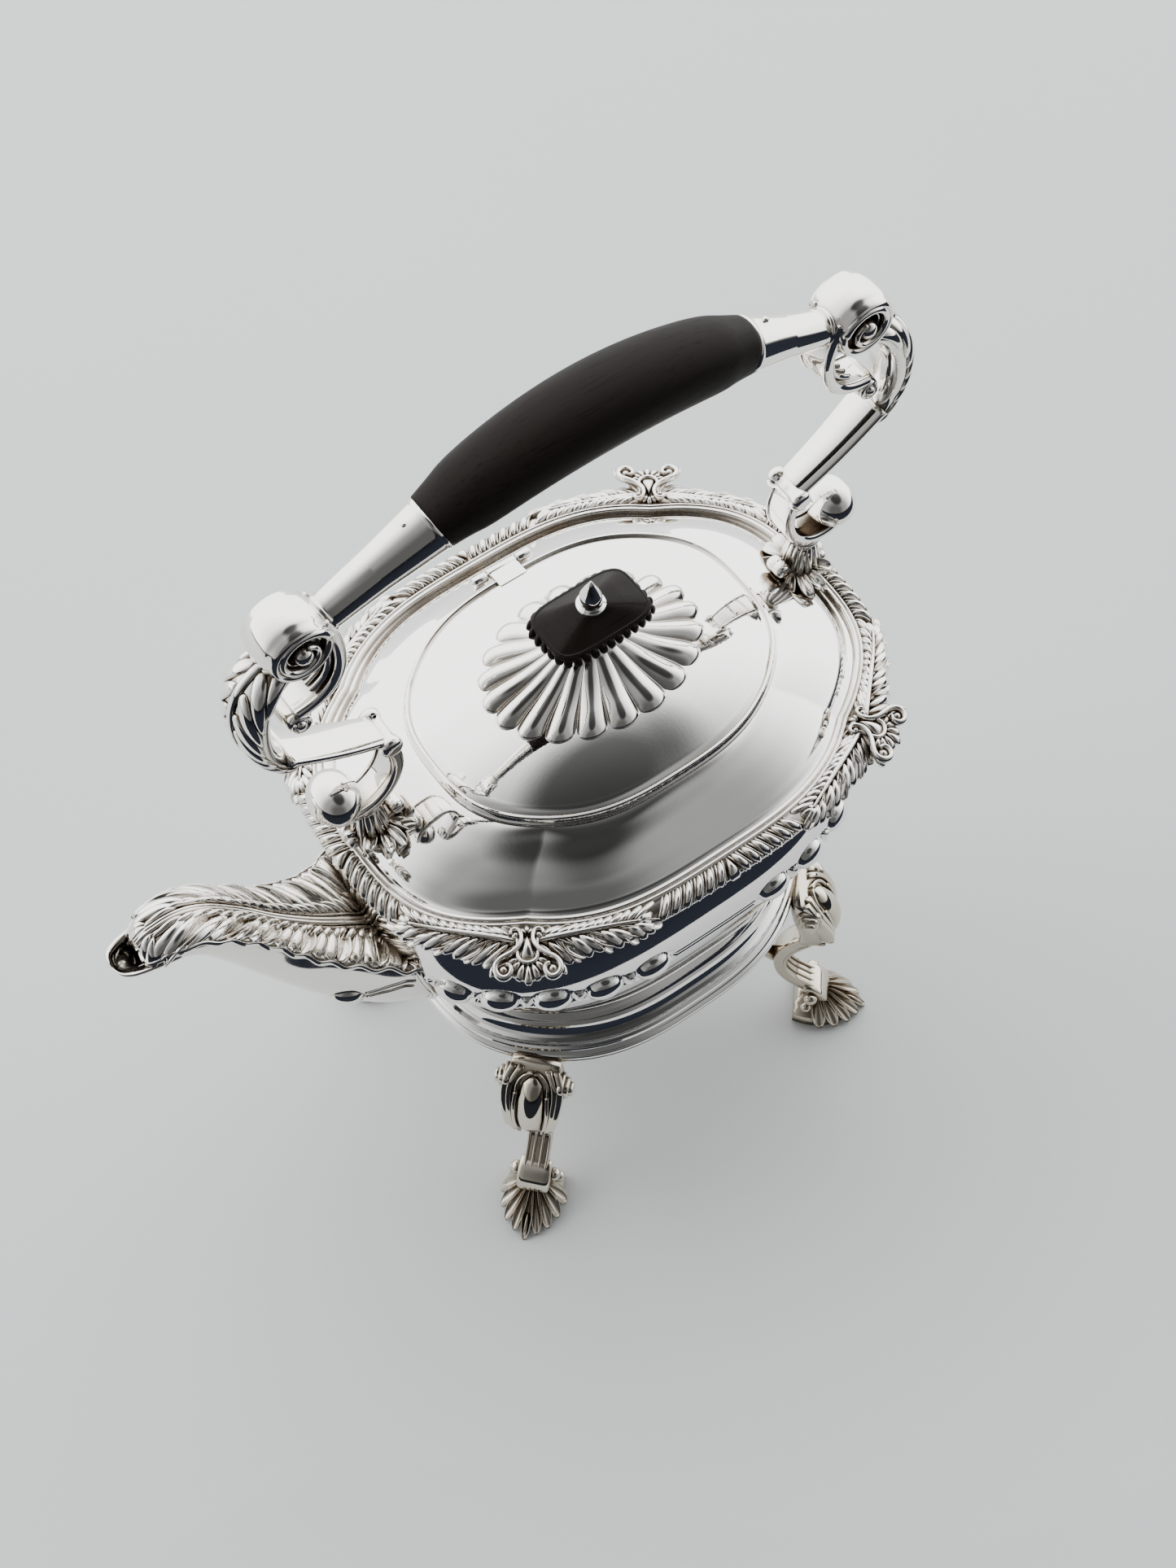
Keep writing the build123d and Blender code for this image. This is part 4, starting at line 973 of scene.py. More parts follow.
def arm(name, hand, material):
    """One cast arm of the handle, drawn on the +X side."""
    part = Shape(handle_place(hand))
    barrel(part, VOLUTE, [(0, 11.2), (3.0, 11.0), (5.4, 10.3), (6.3, 9.8), (6.9, 9.8), (7.9, 9.3),
                          (8.4, 8.4), (8.1, 7.6), (6.6, 7.0), (5.6, 6.6), (5.4, 3.0)])
    scroll_faces(part, VOLUTE, 8.4, 7.4, -1, turns=1.15, thick=1.45, start=2.9, button=3.0, proud=2.4)
    scroll_faces(part, VOLUTE, 6.2, 6.4, -1, turns=0.8, thick=0.6, start=2.9, button=3.0, proud=2.0)
    raised_ribbon(part, [(86.6, 338.5), (83.9, 331), (83.0, 322.5), (84.4, 315.0), (88.6, 309.4),
                         (94.6, 306.4), (99.6, 305.6)], 6.4, 1.35, 80, 1.2)
    line = smooth([(88.6, 335), (86.2, 328), (85.8, 320), (88.2, 313.6), (93.0, 310.2)], 40)
    for y in (-3.6, -1.2, 1.2, 3.6):
        path = xyz(line[:, 0], y, line[:, 1])
        tube(part, path, ACROSS, 0.8, 1.1)
    barrel(part, RIBBON_ROLL, [(0, 4.0), (3.4, 3.9), (5.4, 3.5), (6.4, 2.8), (6.6, 1.6)])
    scroll_faces(part, RIBBON_ROLL, 3.2, 6.2, 1, turns=0.9, thick=0.75, start=1.5, button=1.9, proud=1.6)
    leaf_round(part, [(95.5, 324.6, 5.4, 2.6), (102.0, 323.6, 7.2, 4.2), (108.0, 318.2, 8.2, 5.0),
                      (111.0, 308.6, 8.4, 4.8), (111.0, 297.0, 7.6, 4.0), (108.2, 287.4, 6.2, 3.0),
                      (104.0, 281.8, 4.6, 1.9), (101.5, 280.4, 2.6, 1.2)], -1, 8, 21.0, 4.4)
    strap = np.linspace(0, 1, 24)
    path = xyz(106.4 - 30.4 * strap, 0, 286.4 - 20.6 * strap - 1.2 * np.sin(np.pi * strap))
    tube(part, path, ACROSS, np.interp(strap, [0, 1], [7.2, 5.6]), 1.8, BEVELLED)
    barrel(part, (75.2, 265.0), [(0, 2.9), (3.4, 3.0), (5.6, 3.7), (7.2, 3.2), (7.8, 1.4)])
    raised_ribbon(part, [(75.4, 263.8), (73.4, 257.4), (73.6, 249.5), (76.8, 242.4), (82.6, 237.8),
                         (89.4, 236.8), (95.4, 238.8)], 5.4, 1.4, 70, 1.0)
    barrel(part, OVOID, [(0, 7.9), (2.6, 7.7), (5.2, 6.7), (7.4, 5.0), (8.8, 2.8), (9.3, 0.8)])
    hook = smooth([(97.5, 239.6), (100.4, 243.4), (100.0, 248.4), (96.6, 251.6)], 20)
    tube(part, upright(hook), ACROSS, np.linspace(4.4, 2.0, 20), 1.0)
    part.make(f"handle_arm_{name}_cast", "pot", material, [f"handle_arm_{name}"])

    stem = Shape(lambda p: p * np.array([hand, 1, 1]))
    rows = smooth([(84.4, 236.4, 4.9, 4.6), (84.0, 230.0, 3.9, 3.9), (83.4, 224.0, 4.1, 4.3),
                   (82.0, 218.6, 5.8, 6.6), (80.6, 214.8, 7.6, 9.0)], 30, 2)
    path = upright(rows)
    tube(stem, path, ACROSS, rows[:, 3], rows[:, 2])
    revolve(stem, [(0, -1.0), (5.0, -1.0), (5.5, 0), (5.0, 1.0), (0, 1.0)], (84.2, 0, 234.2), (0.1, 0, 1), 32)
    for k in range(12):
        turn = 2 * np.pi * k / 12
        out = np.array([math.cos(turn), math.sin(turn), 0.15])
        chart = flat((84.0 + 3.4 * out[0], 3.4 * out[1], 233.5),
                     (0.35 * out[0] - 0.12, 0.35 * out[1], -1), out)
        petal(stem, chart, (0, 0), 0, 16.0, 2.8, 1.2, blunt=0.5, neck=0.4, lift=0.8, sink=1.5)
    for turn, size in ((0, 8.0), (38, 9.0), (76, 9.5), (104, 9.5), (142, 10.0), (180, 11.0), (218, 10.0),
                       (256, 9.5), (284, 9.5), (322, 9.0)):
        a = math.radians(turn)
        out = np.array([math.cos(a), math.sin(a)])
        lean = 0.34 if out[0] < -0.2 else -0.62 * out[0]
        chart = flat((81.8 + 2.6 * out[0], 3.0 * out[1], 220.6),
                     (out[0], out[1], lean * abs(out[0]) - 0.28 * abs(out[1])), (-0.4, 0, 1))
        petal(stem, chart, (0, 0), 0, size, 4.2, 2.0, blunt=0.35, neck=0.6, form=CUPPED, lift=-0.6, sink=3.0)
    for cx, cz in ((74.6, 224.6), (90.4, 219.4)):
        barrel(stem, (cx, cz), [(0, 2.6), (2.2, 2.6), (3.2, 2.2), (3.8, 1.2)])
        raised = [(cx, cz - 2.2), (cx + (83 - cx) * 0.5, cz - 3.2),
                  (83.2, cz - 1.0 + (2.0 if cx < 80 else 4.0))]
        raised_ribbon(stem, raised, 2.6, 1.0, 20, 0.6)
    stem.make(f"handle_stem_{name}_leaves", "pot", material, [f"handle_stem_{name}"])

    socket = Shape(handle_place(hand))
    ahead = unit(np.array([SOCKET_END[0] - GRIP_HALF, 0, SOCKET_END[1] - GRIP_END_Z]))
    length = math.hypot(SOCKET_END[0] - GRIP_HALF, SOCKET_END[1] - GRIP_END_Z) + 1.2
    profile = [(5.7, 0.0), (8.35, 0.0), (8.6, 0.5), (8.55, 1.0), (8.3, 1.4), (7.6, 8.0), (6.5, 18.0),
               (5.6, length - 4.0), (5.5, length - 3.0), (5.9, length - 2.4), (5.9, length - 1.2),
               (5.4, length - 0.4), (4.6, length)]
    keys = straight([(r, z, 0) for r, z in profile], 60)[:, :2]
    revolve(socket, [(5.7, 11.8), *[tuple(k) for k in keys], (0, length)], (GRIP_HALF, 0, GRIP_END_Z),
            ahead, 64)
    socket.make(f"handle_socket_{name}_cone", "pot", material, [f"handle_socket_{name}"])


def grip(ebony, silver):
    part = Shape()
    rise = GRIP_TOP_Z - GRIP_END_Z
    radius = (GRIP_HALF**2 + rise**2) / (2 * rise)
    half_turn = math.atan2(GRIP_HALF, radius - rise)
    t = np.linspace(-1, 1, 90)
    path = xyz(radius * np.sin(t * half_turn), 0, GRIP_TOP_Z - radius + radius * np.cos(t * half_turn))
    keys = smooth([(-1, 8.25), (-0.86, 9.5), (-0.55, 11.2), (0, 12.0), (0.55, 11.2), (0.86, 9.5),
                   (1, 8.25)], 400)
    girth = np.interp(t, keys[:, 0], keys[:, 1])
    tube(part, path, ACROSS, girth, girth * 0.985, oval_form(2.25, 48))
    part.make("grip_ebony", "pot", ebony, ["grip"])
    pins = Shape()
    for hand in (-1, 1):
        ahead = unit(np.array([SOCKET_END[0] - GRIP_HALF, 0, SOCKET_END[1] - GRIP_END_Z]))
        place = np.array([GRIP_HALF, 0, GRIP_END_Z]) + PIN_SETBACK * ahead
        across = np.array([-ahead[2], 0, ahead[0]])
        place = place * (hand, 1, 1)
        across = across * (hand, 1, 1)
        revolve(pins, [(0, -8.6), (0.6, -8.5), (0.9, -8.1), (0.9, 8.1), (0.6, 8.5), (0, 8.6)], place,
                across, 20)
    pins.make("grip_pin_pair", "pot", silver, ["grip_pins"])


# ---------------------------------------------------------------- stand
KNEE = (62.7, 51.6)
LEG_SPREAD = math.radians(54)
LEG_TWIST = math.radians(-12)
LEG_TOP = 94.6
ANKLE_IN = 9.6  # how far the ankle sweeps in behind the knee
FOOT_REACH = 20.6


def leg(corner, name, material):
    sx, sy = corner
    heading = LEG_SPREAD + LEG_TWIST
    out = np.array([sx * math.cos(heading), sy * math.sin(heading), 0])
    side = np.array([-out[1], out[0], 0])
    base = np.array([sx * KNEE[0], sy * KNEE[1], 0])

    def place(p):
        q = base + p[:, :1] * out + p[:, 1:2] * side + p[:, 2:3] * np.array([0, 0, 1])
        q[:, 2] = np.clip(q[:, 2], 0.0, LEG_TOP)
        return q

    part = Shape(place)
    # Core: height, back, front, half width
    keys = smooth([(94.4, -8.0, -4.6, 8.4), (91.5, -8.6, -0.6, 9.4), (86.0, -8.4, 3.4, 9.8),
                   (78.0, -6.6, 6.4, 9.4), (69.0, -4.6, 7.4, 8.2), (61.5, -4.0, 6.0, 7.0)], 50, 1)
    form = oval_form(4.5, 40)
    rings = np.zeros((50, 40, 3))
    back, front = keys[:, 1:2], keys[:, 2:3]
    rings[..., 0] = (back + front) / 2 + form[:, 0] * ((front - back) / 2)
    rings[..., 1] = form[:, 1] * keys[:, 3:4]
    rings[..., 2] = keys[:, :1]
    part.loops(rings)
    # Ankle: it sweeps in to the stretcher and out again to the foot
    ankle = smooth([(2.6, 66.0, 3.4), (0.2, 59.5, 3.0), (-4.6, 53.0, 2.6), (-8.4, 46.0, 2.4),
                    (-ANKLE_IN, 38.6, 2.3), (-8.2, 31.6, 2.3), (-4.4, 25.4, 2.4), (0.6, 20.8, 2.6),
                    (4.4, 17.4, 2.6)], 80, 2)
    path = upright(ankle)
    width = np.interp(np.linspace(0, 1, 80), [0, 0.25, 1], [6.4, 4.6, 4.6])
    tube(part, path, ACROSS, width, ankle[:, 2], BAR)
    outer_line = path + np.cross(unit(np.gradient(path, axis=0)), (0, 1.0, 0)) * (ankle[:, 2:3] - 0.1)
    for y in (-3.9, -1.4, 1.4, 3.9):
        tube(part, outer_line + np.array([0, y, 0]), ACROSS, 0.65, 0.9)
    # Front of the knee
    front = smooth([(-4.6, 94.2), (-0.6, 91.4), (3.6, 85.8), (6.6, 78.0), (7.5, 69.0), (6.2, 61.5)], 60)
    track = upright(front)
    down = unit(np.gradient(track, axis=0))
    face = xyz(-down[:, 2], 0, down[:, 0])
    at = run_length(track)

    def chart(a, b, h):
        x, z, nx, nz = (np.interp(a, at, k) for k in (track[:, 0], track[:, 2], face[:, 0], face[:, 2]))
        fall = h - 0.022 * b * b
        return xyz(x + nx * fall, b, z + nz * fall)

    # Long oval boss in its frame
    u = np.linspace(0, 1, 36)
    v = np.linspace(-1, 1, 21)
    bulge = np.sin(np.pi * np.clip(u, 0.015, 0.985)) ** 0.45
    width = np.interp(u, [0, 0.08, 0.3, 0.6, 0.85, 1], [1.2, 3.6, 5.0, 4.9, 4.0, 3.2])
    across = v * width[:, None]
    reach = np.repeat((4.2 + 32.0 * u)[:, None], 21, axis=1)
    dome = chart(reach, across, 3.6 * bulge[:, None] * np.sqrt(1 - 0.94 * v**2))
    under = chart(reach, across, -1.5)
    part.loops(np.concatenate([dome, under[:, ::-1]], axis=1))
    head = smooth([(12.0, -5.6), (6.0, -4.8), (3.0, 0.0), (6.0, 4.8), (12.0, 5.6)], 30)
    tube(part, chart(head[:, 0], head[:, 1], 0.8), ACROSS, 0.8, 1.0)
    for hand in (-1, 1):
        for keys, wide, tall in (
            ([(11.0, 5.6), (18.0, 6.0), (27.0, 5.5), (36.5, 4.2)], 0.75, 1.9),
            ([(1.0, 4.6), (6.0, 7.2), (16.0, 8.0), (25.0, 7.2), (34.0, 5.8)], 1.05, 2.3),
            ([(1.0, 7.6), (6.0, 9.4), (14.0, 9.9), (22.0, 9.0), (29.5, 7.8)], 1.15, 2.7),
        ):
            line = smooth(keys, 40)
            tube(part, chart(line[:, 0], hand * line[:, 1], 0.4), ACROSS, wide, tall, BAR)
        # Stepped knob on the side
        for reach, size, far in ((2.2, 5.0, 0.0), (4.0, 3.9, 0.6), (5.4, 2.6, 1.2)):
            knob = np.array([(-1.6 + far * 0.3, hand * (8.6 + reach * s), 86.8)
                             for s in (0.0, 0.5, 0.86, 0.97, 1.0)])
            girth = np.array([size, size, size, size * 0.9, size * 0.7])
            tube(part, knob, UPWARDS, girth, girth * 0.9, oval_form(3.4, 28))
    lip = xyz(1.6, np.linspace(-6.2, 6.2, 12), 61.2)
    tube(part, lip, (1, 0, 0), 4.9, 0.9, BAR)
    # Foot: bevelled block, small volutes and the hollow shell
    block = np.array([(1.2, 0, 19.6), (3.6, 0, 19.4), (6.2, 0, 17.8), (8.6, 0, 14.8), (9.6, 0, 11.8)], float)
    rows = smooth(block, 24)
    width = np.interp(np.linspace(0, 1, 24), [0, 0.06, 0.5, 0.94, 1], [5.2, 6.0, 6.4, 6.2, 5.4])
    tube(part, rows, ACROSS, width, 2.3, BAR)
    ridge = xyz(8.5, np.linspace(-6.2, 6.2, 12), 16.4)
    tube(part, ridge, UPWARDS, 0.7, 0.7)
    for hand in (-1, 1):
        revolve(part, [(0, -1.5), (2.5, -1.3), (2.7, 0), (2.4, 1.2), (1.3, 2.0), (0, 2.2)],
                (4.6, hand * 7.3, 15.6), (0.35, hand, 0.1), 24)
        revolve(part, [(0, -1.5), (2.0, -1.3), (2.2, 0), (1.9, 1.2), (0, 2.0)], (3.2, hand * 8.8, 11.2),
                (0.35, hand, 0.1), 24)

    def fan(a, b, h):
        rho = np.clip(np.hypot(a, b) / FOOT_REACH, 0, 1)
        z = 0.5 + 15.0 * (1 - rho) ** 0.85
        return xyz(6.2 + a - 0.12 * h, 0.7 * b, np.maximum(z + h, 0))

    turn = full_turn(60)
    cone = []
    for rho in (0.76, 0.76, 0.65, 0.5, 0.3, 0.1):
        cone.append(fan(FOOT_REACH * rho * np.cos(turn), FOOT_REACH * rho * np.sin(turn), -1.2))
    cone[0][:, 2] = 0
    cone = np.array(cone)
    cone[..., 0] = np.maximum(cone[..., 0], -1.5)
    part.loops(cone)
    for k in range(9):
        heading = 160 * (k / 8 - 0.5)
        reach = 17.6 if k == 4 else 16.4 - 0.2 * abs(k - 4)
        a = math.radians(heading)
        petal(part, fan, (2.6 * math.cos(a), 2.6 * math.sin(a)), heading, reach, 5.9, 3.6, blunt=0.5,
              neck=1.0, form=SPOON, lift=0.8, base=-0.8, sink=1.0, rows=24)
    petal(part, fan, (12.0, 0), 0, 7.4, 2.0, 1.8, blunt=0.5)
    part.make(f"leg_{name}_cast", "stand", material, [f"leg_{name}"])


def stand(material, cast):
    ring = Shape()
    rows = oval(10.8, [(88.2, 68.0), (88.0, 70.0), (88.3, 73.4), (89.2, 74.6), (90.2, 74.9), (90.9, 74.4),
                       (91.3, 74.7), (92.4, 75.3), (93.5, 75.0), (94.0, 74.3), (94.9, 73.6), (95.0, 70.0),
                       (94.6, 67.6), (89.0, 67.5)])
    ring.loops(skin(rows, 90, 120), ring_round=True)
    ring.make("stand_ring_moulding", "stand", material, ["stand_ring"])
    for corner, name in zip(CORNERS, CORNER_NAMES):
        leg(corner, name, cast)
        sx, sy = corner
        heading = LEG_SPREAD + LEG_TWIST
        ankle = np.array([KNEE[0] - ANKLE_IN * math.cos(heading), KNEE[1] - ANKLE_IN * math.sin(heading)])
        reach = float(np.hypot(*ankle))
        ahead = np.array([sx * ankle[0], sy * ankle[1], 0]) / reach
        side = np.array([-ahead[1], ahead[0], 0])
        part = Shape()
        line = smooth([(reach + 0.6, 36.0), (reach - 4.0, 40.4), (reach - 10, 46.0), (reach - 20, 50.6),
                       (reach - 31, 46.0), (27.6, 37.2)], 70)
        path = line[:, :1] * ahead + line[:, 1:2] * np.array([0, 0, 1.0])
        tube(part, path, side, 3.0, 1.2, BAR)
        for shift in (-1.9, 1.9):
            tube(part, path + side * shift, side, 0.9, 1.7)
        part.make(f"stretcher_{name}_strap", "stand", cast, [f"stretcher_{name}"])
    ring = Shape()
    profile = [(24.8, 34.2), (25.4, 34.0), (26.6, 34.1), (27.0, 34.8), (26.7, 35.6), (26.7, 38.4),
               (27.0, 39.2), (26.6, 39.9), (25.4, 40.0), (24.8, 39.8)]
    turned(ring, profile)
    ring.make("burner_ring_band", "stand", material, ["burner_ring"])


def turned(part, profile, count=96):
    """Ring turned from a closed profile (radius, height)."""
    profile = np.array(profile)
    turn = full_turn(count)
    rings = np.zeros((len(profile), count, 3))
    rings[..., 0] = profile[:, :1] * np.cos(turn)
    rings[..., 1] = profile[:, :1] * np.sin(turn)
    rings[..., 2] = profile[:, 1:]
    part.loops(rings, ring_round=True)


def burner(silver, cotton):
    bowl = Shape()
    line = smooth([(9, 18.2), (15.4, 20.4), (20.4, 26.2), (23.4, 33.0), (23.9, 38.0)], 24)
    lining = smooth([(22.6, 38.0), (22.0, 33.6), (19.2, 27.2), (14.8, 21.8), (9, 19.6)], 24)
    profile = [(0, 18.0), (8.4, 18.0), *[tuple(p) for p in line], (23.9, 40.5), (26.6, 40.6),
               (27.0, 41.2), (26.6, 41.8), (24.2, 41.9), (23.5, 42.6), (23.0, 44.0), (23.3, 45.0),
               (23.0, 46.0), (22.9, 49.9), (21.8, 49.9), (21.9, 44.0), *[tuple(p) for p in lining],
               (0, 19.4)]
    revolve(bowl, profile, count=96)
    bowl.make("burner_bowl_body", "burner", silver, ["burner_bowl"])
    cover = Shape()
    turned(cover, [(4.1, 42.0), (5.0, 42.0), (5.0, 49.9), (22.9, 50.0), (23.5, 50.4), (23.6, 51.0),
                   (23.2, 51.5), (19.0, 52.4), (18.4, 52.9), (17.6, 52.8), (12.0, 54.0), (8.0, 54.9),
                   (6.4, 55.2), (5.6, 56.0), (5.0, 57.0), (5.0, 64.6), (4.7, 65.0), (4.1, 65.0)])
    cover.make("burner_cover_top", "burner", silver, ["burner_cover"])
    wick = Shape()
    turn = full_turn(48)
    rows = []
    for z in np.linspace(24.2, 67.2, 90):
        r = 3.75 + 0.22 * np.cos(6 * turn + z * 1.4) + 0.12 * np.cos(6 * turn - z * 1.4)
        r = r * min(1.0, math.sqrt(max(0.05, 1 - max(0.0, (z - 66.0) / 1.3) ** 2)))
        rows.append(xyz(r * np.cos(turn), r * np.sin(turn), z))
    wick.loops(np.array(rows))
    wick.make("wick_plait", "burner", cotton, ["wick"])
    cap = Shape()
    revolve(cap, [(0, 68.0), (5.2, 68.0), (5.35, 67.6), (5.35, 57.6), (5.5, 57.4), (7.3, 57.4),
                  (7.55, 57.9), (7.4, 58.6), (6.7, 59.2), (6.45, 60.0), (6.45, 66.6), (6.2, 67.6),
                  (5.0, 68.8), (2.4, 69.6), (1.4, 70.2), (1.2, 70.9), (1.9, 71.6), (2.4, 72.7),
                  (2.1, 73.9), (1.0, 74.7), (0, 74.8)], count=56)
    cap.make("snuffer_cap_bell", "snuffer", silver, ["snuffer_cap"])


def foot_rim(material):
    part = Shape()
    under = oval(10.8, [(95.35, 66.8)])
    face = oval(11.6, [(95.3, 72.8), (95.7, 74.0), (96.6, 74.5), (97.5, 74.2), (98.0, 73.4),
                       (98.5, 73.1), (99.2, 73.3), (99.8, 72.8), (100.4, 71.4), (101.0, 70.4)])
    top = oval(11.0, [(101.0, 67.0)])
    back = oval(10.8, [(100.4, 65.4), (91.6, 65.3), (91.3, 66.0), (91.6, 66.7)])
    part.loops(skin(under + face + top + back, 110, 120, straight), ring_round=True)
    part.make("pot_foot_moulding", "pot", material, ["pot_foot_rim"])


# ---------------------------------------------------------------- materials
class Nodes:
    """Shorthand for a material's node tree."""

    def __init__(self, name):
        self.material = bpy.data.materials.new(name)
        self.material.use_nodes = True
        self.tree = self.material.node_tree
        self.shader = self.tree.nodes["Principled BSDF"]
        self.coords = self.add("ShaderNodeTexCoord").outputs["Object"]

    def add(self, kind, **inputs):
        node = self.tree.nodes.new(kind)
        for key, value in inputs.items():
            self.set(node.inputs[key.replace("_", " ")], value)
        return node

    def set(self, socket, value):
        if isinstance(value, bpy.types.NodeSocket):
            self.tree.links.new(value, socket)
        else:
            socket.default_value = value

    def noise(self, scale, detail=3.0, rough=0.5, stretch=None):
        node = self.add("ShaderNodeTexNoise", Scale=scale, Detail=detail, Roughness=rough)
        vector = self.coords
        if stretch is not None:
            mapping = self.add("ShaderNodeMapping", Scale=stretch)
            self.set(mapping.inputs["Vector"], vector)
            vector = mapping.outputs[0]
        self.set(node.inputs["Vector"], vector)
        return node.outputs[0]

    def remap(self, value, low, high, to_low, to_high):
        node = self.add("ShaderNodeMapRange")
        for key, given in (("Value", value), ("From Min", low), ("From Max", high), ("To Min", to_low),
                           ("To Max", to_high)):
            self.set(node.inputs[key], given)
        return node.outputs[0]

    def math(self, kind, a, b=0.0):
        node = self.tree.nodes.new("ShaderNodeMath")
        node.operation = kind
        self.set(node.inputs[0], a)
        self.set(node.inputs[1], b)
        return node.outputs[0]

    def mix(self, factor, a, b):
        node = self.tree.nodes.new("ShaderNodeMix")
        node.data_type = "RGBA"
        self.set(node.inputs[0], factor)
        self.set(node.inputs[6], a)
        self.set(node.inputs[7], b)
        return node.outputs[2]

    def bump(self, height, distance, strength=1.0):
        node = self.add("ShaderNodeBump", Height=height, Distance=distance, Strength=strength)
        self.set(self.shader.inputs["Normal"], node.outputs[0])


# Per kind of silver: reach of a crevice in metres, openness where it is fully tarnished and where it is
# clean, the colours of its bright parts, and the strength of its dents
SILVER_LOOKS = {
    "silver_plain": (0.003, 0.15, 0.55, (0.955, 0.94, 0.915, 1), (0.93, 0.91, 0.875, 1), 0.6),
    "silver_chased": (0.005, 0.42, 0.93, (0.955, 0.93, 0.885, 1), (0.92, 0.885, 0.82, 1), 0.35),
    "silver_worn": (0.013, 0.42, 0.97, (0.76, 0.71, 0.62, 1), (0.62, 0.55, 0.43, 1), 0.35),
}


def silver_material(name):
    """Polished silver: darkened in its crevices, with light handling marks."""
    crevice, closed, clear, bright_a, bright_b, dent = SILVER_LOOKS[name]
    n = Nodes(name)
    cover = n.add("ShaderNodeAmbientOcclusion", Distance=crevice)
    cover.samples = 8
    hollow = n.remap(cover.outputs["AO"], closed, clear, 1.0, 0.0)
    patchy = n.remap(n.noise(55.0, 4.0, 0.6), 0.3, 0.7, 0.65, 1.0)
    tarnish = n.math("MULTIPLY", hollow, patchy)
    cloud = n.remap(n.noise(18.0, 3.0, 0.55), 0.35, 0.75, 0.0, 1.0)
    bright = n.mix(cloud, bright_a, bright_b)
    brown = n.mix(n.noise(140.0, 2.0), (0.060, 0.038, 0.018, 1), (0.20, 0.130, 0.062, 1))
    n.set(n.shader.inputs["Base Color"], n.mix(tarnish, bright, brown))
    n.shader.inputs["Metallic"].default_value = 1.0
    marks = n.remap(n.noise(420.0, 4.0, 0.7), 0.45, 0.75, 0.0, 0.03)
    smear = n.remap(n.noise(32.0, 5.0, 0.6), 0.4, 0.7, 0.02, 0.06)
    rough = n.math("ADD", n.math("ADD", marks, smear), n.math("MULTIPLY", tarnish, 0.3))
    n.set(n.shader.inputs["Roughness"], rough)
    fine = n.noise(900.0, 2.0, 0.6, (1.0, 1.0, 0.35))
    dents = n.noise(26.0, 2.0, 0.5)
    n.bump(n.math("ADD", n.math("MULTIPLY", fine, 0.02), n.math("MULTIPLY", dents, 0.55)), 0.0004, dent)
    return n.material


def ebony_material(name, gloss):
    n = Nodes(name)
    grain = n.noise(160.0, 5.0, 0.65, (0.08, 1.0, 1.0))
    pores = n.remap(n.noise(900.0, 2.0, 0.6, (0.05, 1.0, 1.0)), 0.55, 0.8, 0.0, 1.0)
    shade = n.mix(grain, (0.006, 0.005, 0.0045, 1), (0.016, 0.012, 0.010, 1))
    n.set(n.shader.inputs["Base Color"], n.mix(pores, shade, (0.004, 0.0035, 0.003, 1)))
    rough = n.remap(grain, 0.3, 0.7, 0.16 if gloss else 0.45, 0.26 if gloss else 0.60)
    n.set(n.shader.inputs["Roughness"], rough)
    n.shader.inputs["Specular IOR Level"].default_value = 0.07 if gloss else 0.08
    relief = n.math("ADD", n.math("MULTIPLY", grain, 0.4), n.math("MULTIPLY", pores, -0.5))
    n.bump(relief, 0.0002, 0.12 if gloss else 0.35)
    return n.material


def cotton_material():
    n = Nodes("wick_cotton")
    thread = n.noise(1200.0, 3.0, 0.7, (1.0, 1.0, 0.3))
    char = n.remap(n.add("ShaderNodeSeparateXYZ", Vector=n.coords).outputs["Z"], 0.0645, 0.067, 0.0, 1.0)
    plain = n.mix(thread, (0.62, 0.57, 0.47, 1), (0.86, 0.82, 0.72, 1))
    n.set(n.shader.inputs["Base Color"], n.mix(char, plain, (0.03, 0.025, 0.02, 1)))
    n.set(n.shader.inputs["Roughness"], n.remap(thread, 0.0, 1.0, 0.85, 1.0))
    n.bump(thread, 0.0003, 0.8)
    return n.material


# ---------------------------------------------------------------- stage
# In metres about the pot's axis
CAMERA_PLACE = (-0.22816, -0.31856, 0.82792)
CAMERA_TARGET = (0.02888, 0.04296, 0.072)
CAMERA_ROLL = math.radians(0.5)
CAMERA_LENS = 70.03
DOME_RADIUS = 4.0
FLOOR_RADIUS = 3.98


def set_camera():
    """High three-quarter view from the front left."""
    shift = Vector((POT_X, 0, 0))
    place = Vector(CAMERA_PLACE) + shift
    target = Vector(CAMERA_TARGET) + shift
    forward = (target - place).normalized()
    right = forward.cross(Vector((0, 0, 1))).normalized()
    down = forward.cross(right)
    right_rolled = right * math.cos(CAMERA_ROLL) + down * math.sin(CAMERA_ROLL)
    down_rolled = down * math.cos(CAMERA_ROLL) - right * math.sin(CAMERA_ROLL)
    data = bpy.data.cameras.new("camera")
    data.sensor_fit = "HORIZONTAL"
    data.sensor_width = 36.0
    data.lens = CAMERA_LENS
    data.clip_start = 0.01
    camera = bpy.data.objects.new("camera", data)
    axes = Matrix((right_rolled, -down_rolled, -forward)).transposed()
    camera.matrix_world = Matrix.Translation(place) @ axes.to_4x4()
    bpy.context.scene.collection.objects.link(camera)
    bpy.context.scene.camera = camera


def key_light():
    """Soft square lamp behind the pot's left shoulder, not mirrored by the silver."""
    place = Vector((-1.0, 0.9, 1.7))
    data = bpy.data.lights.new("key", "AREA")
    data.shape = "RECTANGLE"
    data.size = data.size_y = 0.9
    data.energy = 12
    data.color = (1.0, 0.99, 0.97)
    lamp = bpy.data.objects.new("key", data)
    lamp.location = place
    lamp.rotation_euler = (Vector((0, 0, 0.2)) - place).to_track_quat("-Z", "Y").to_euler()
    lamp.visible_glossy = False
    bpy.context.scene.collection.objects.link(lamp)


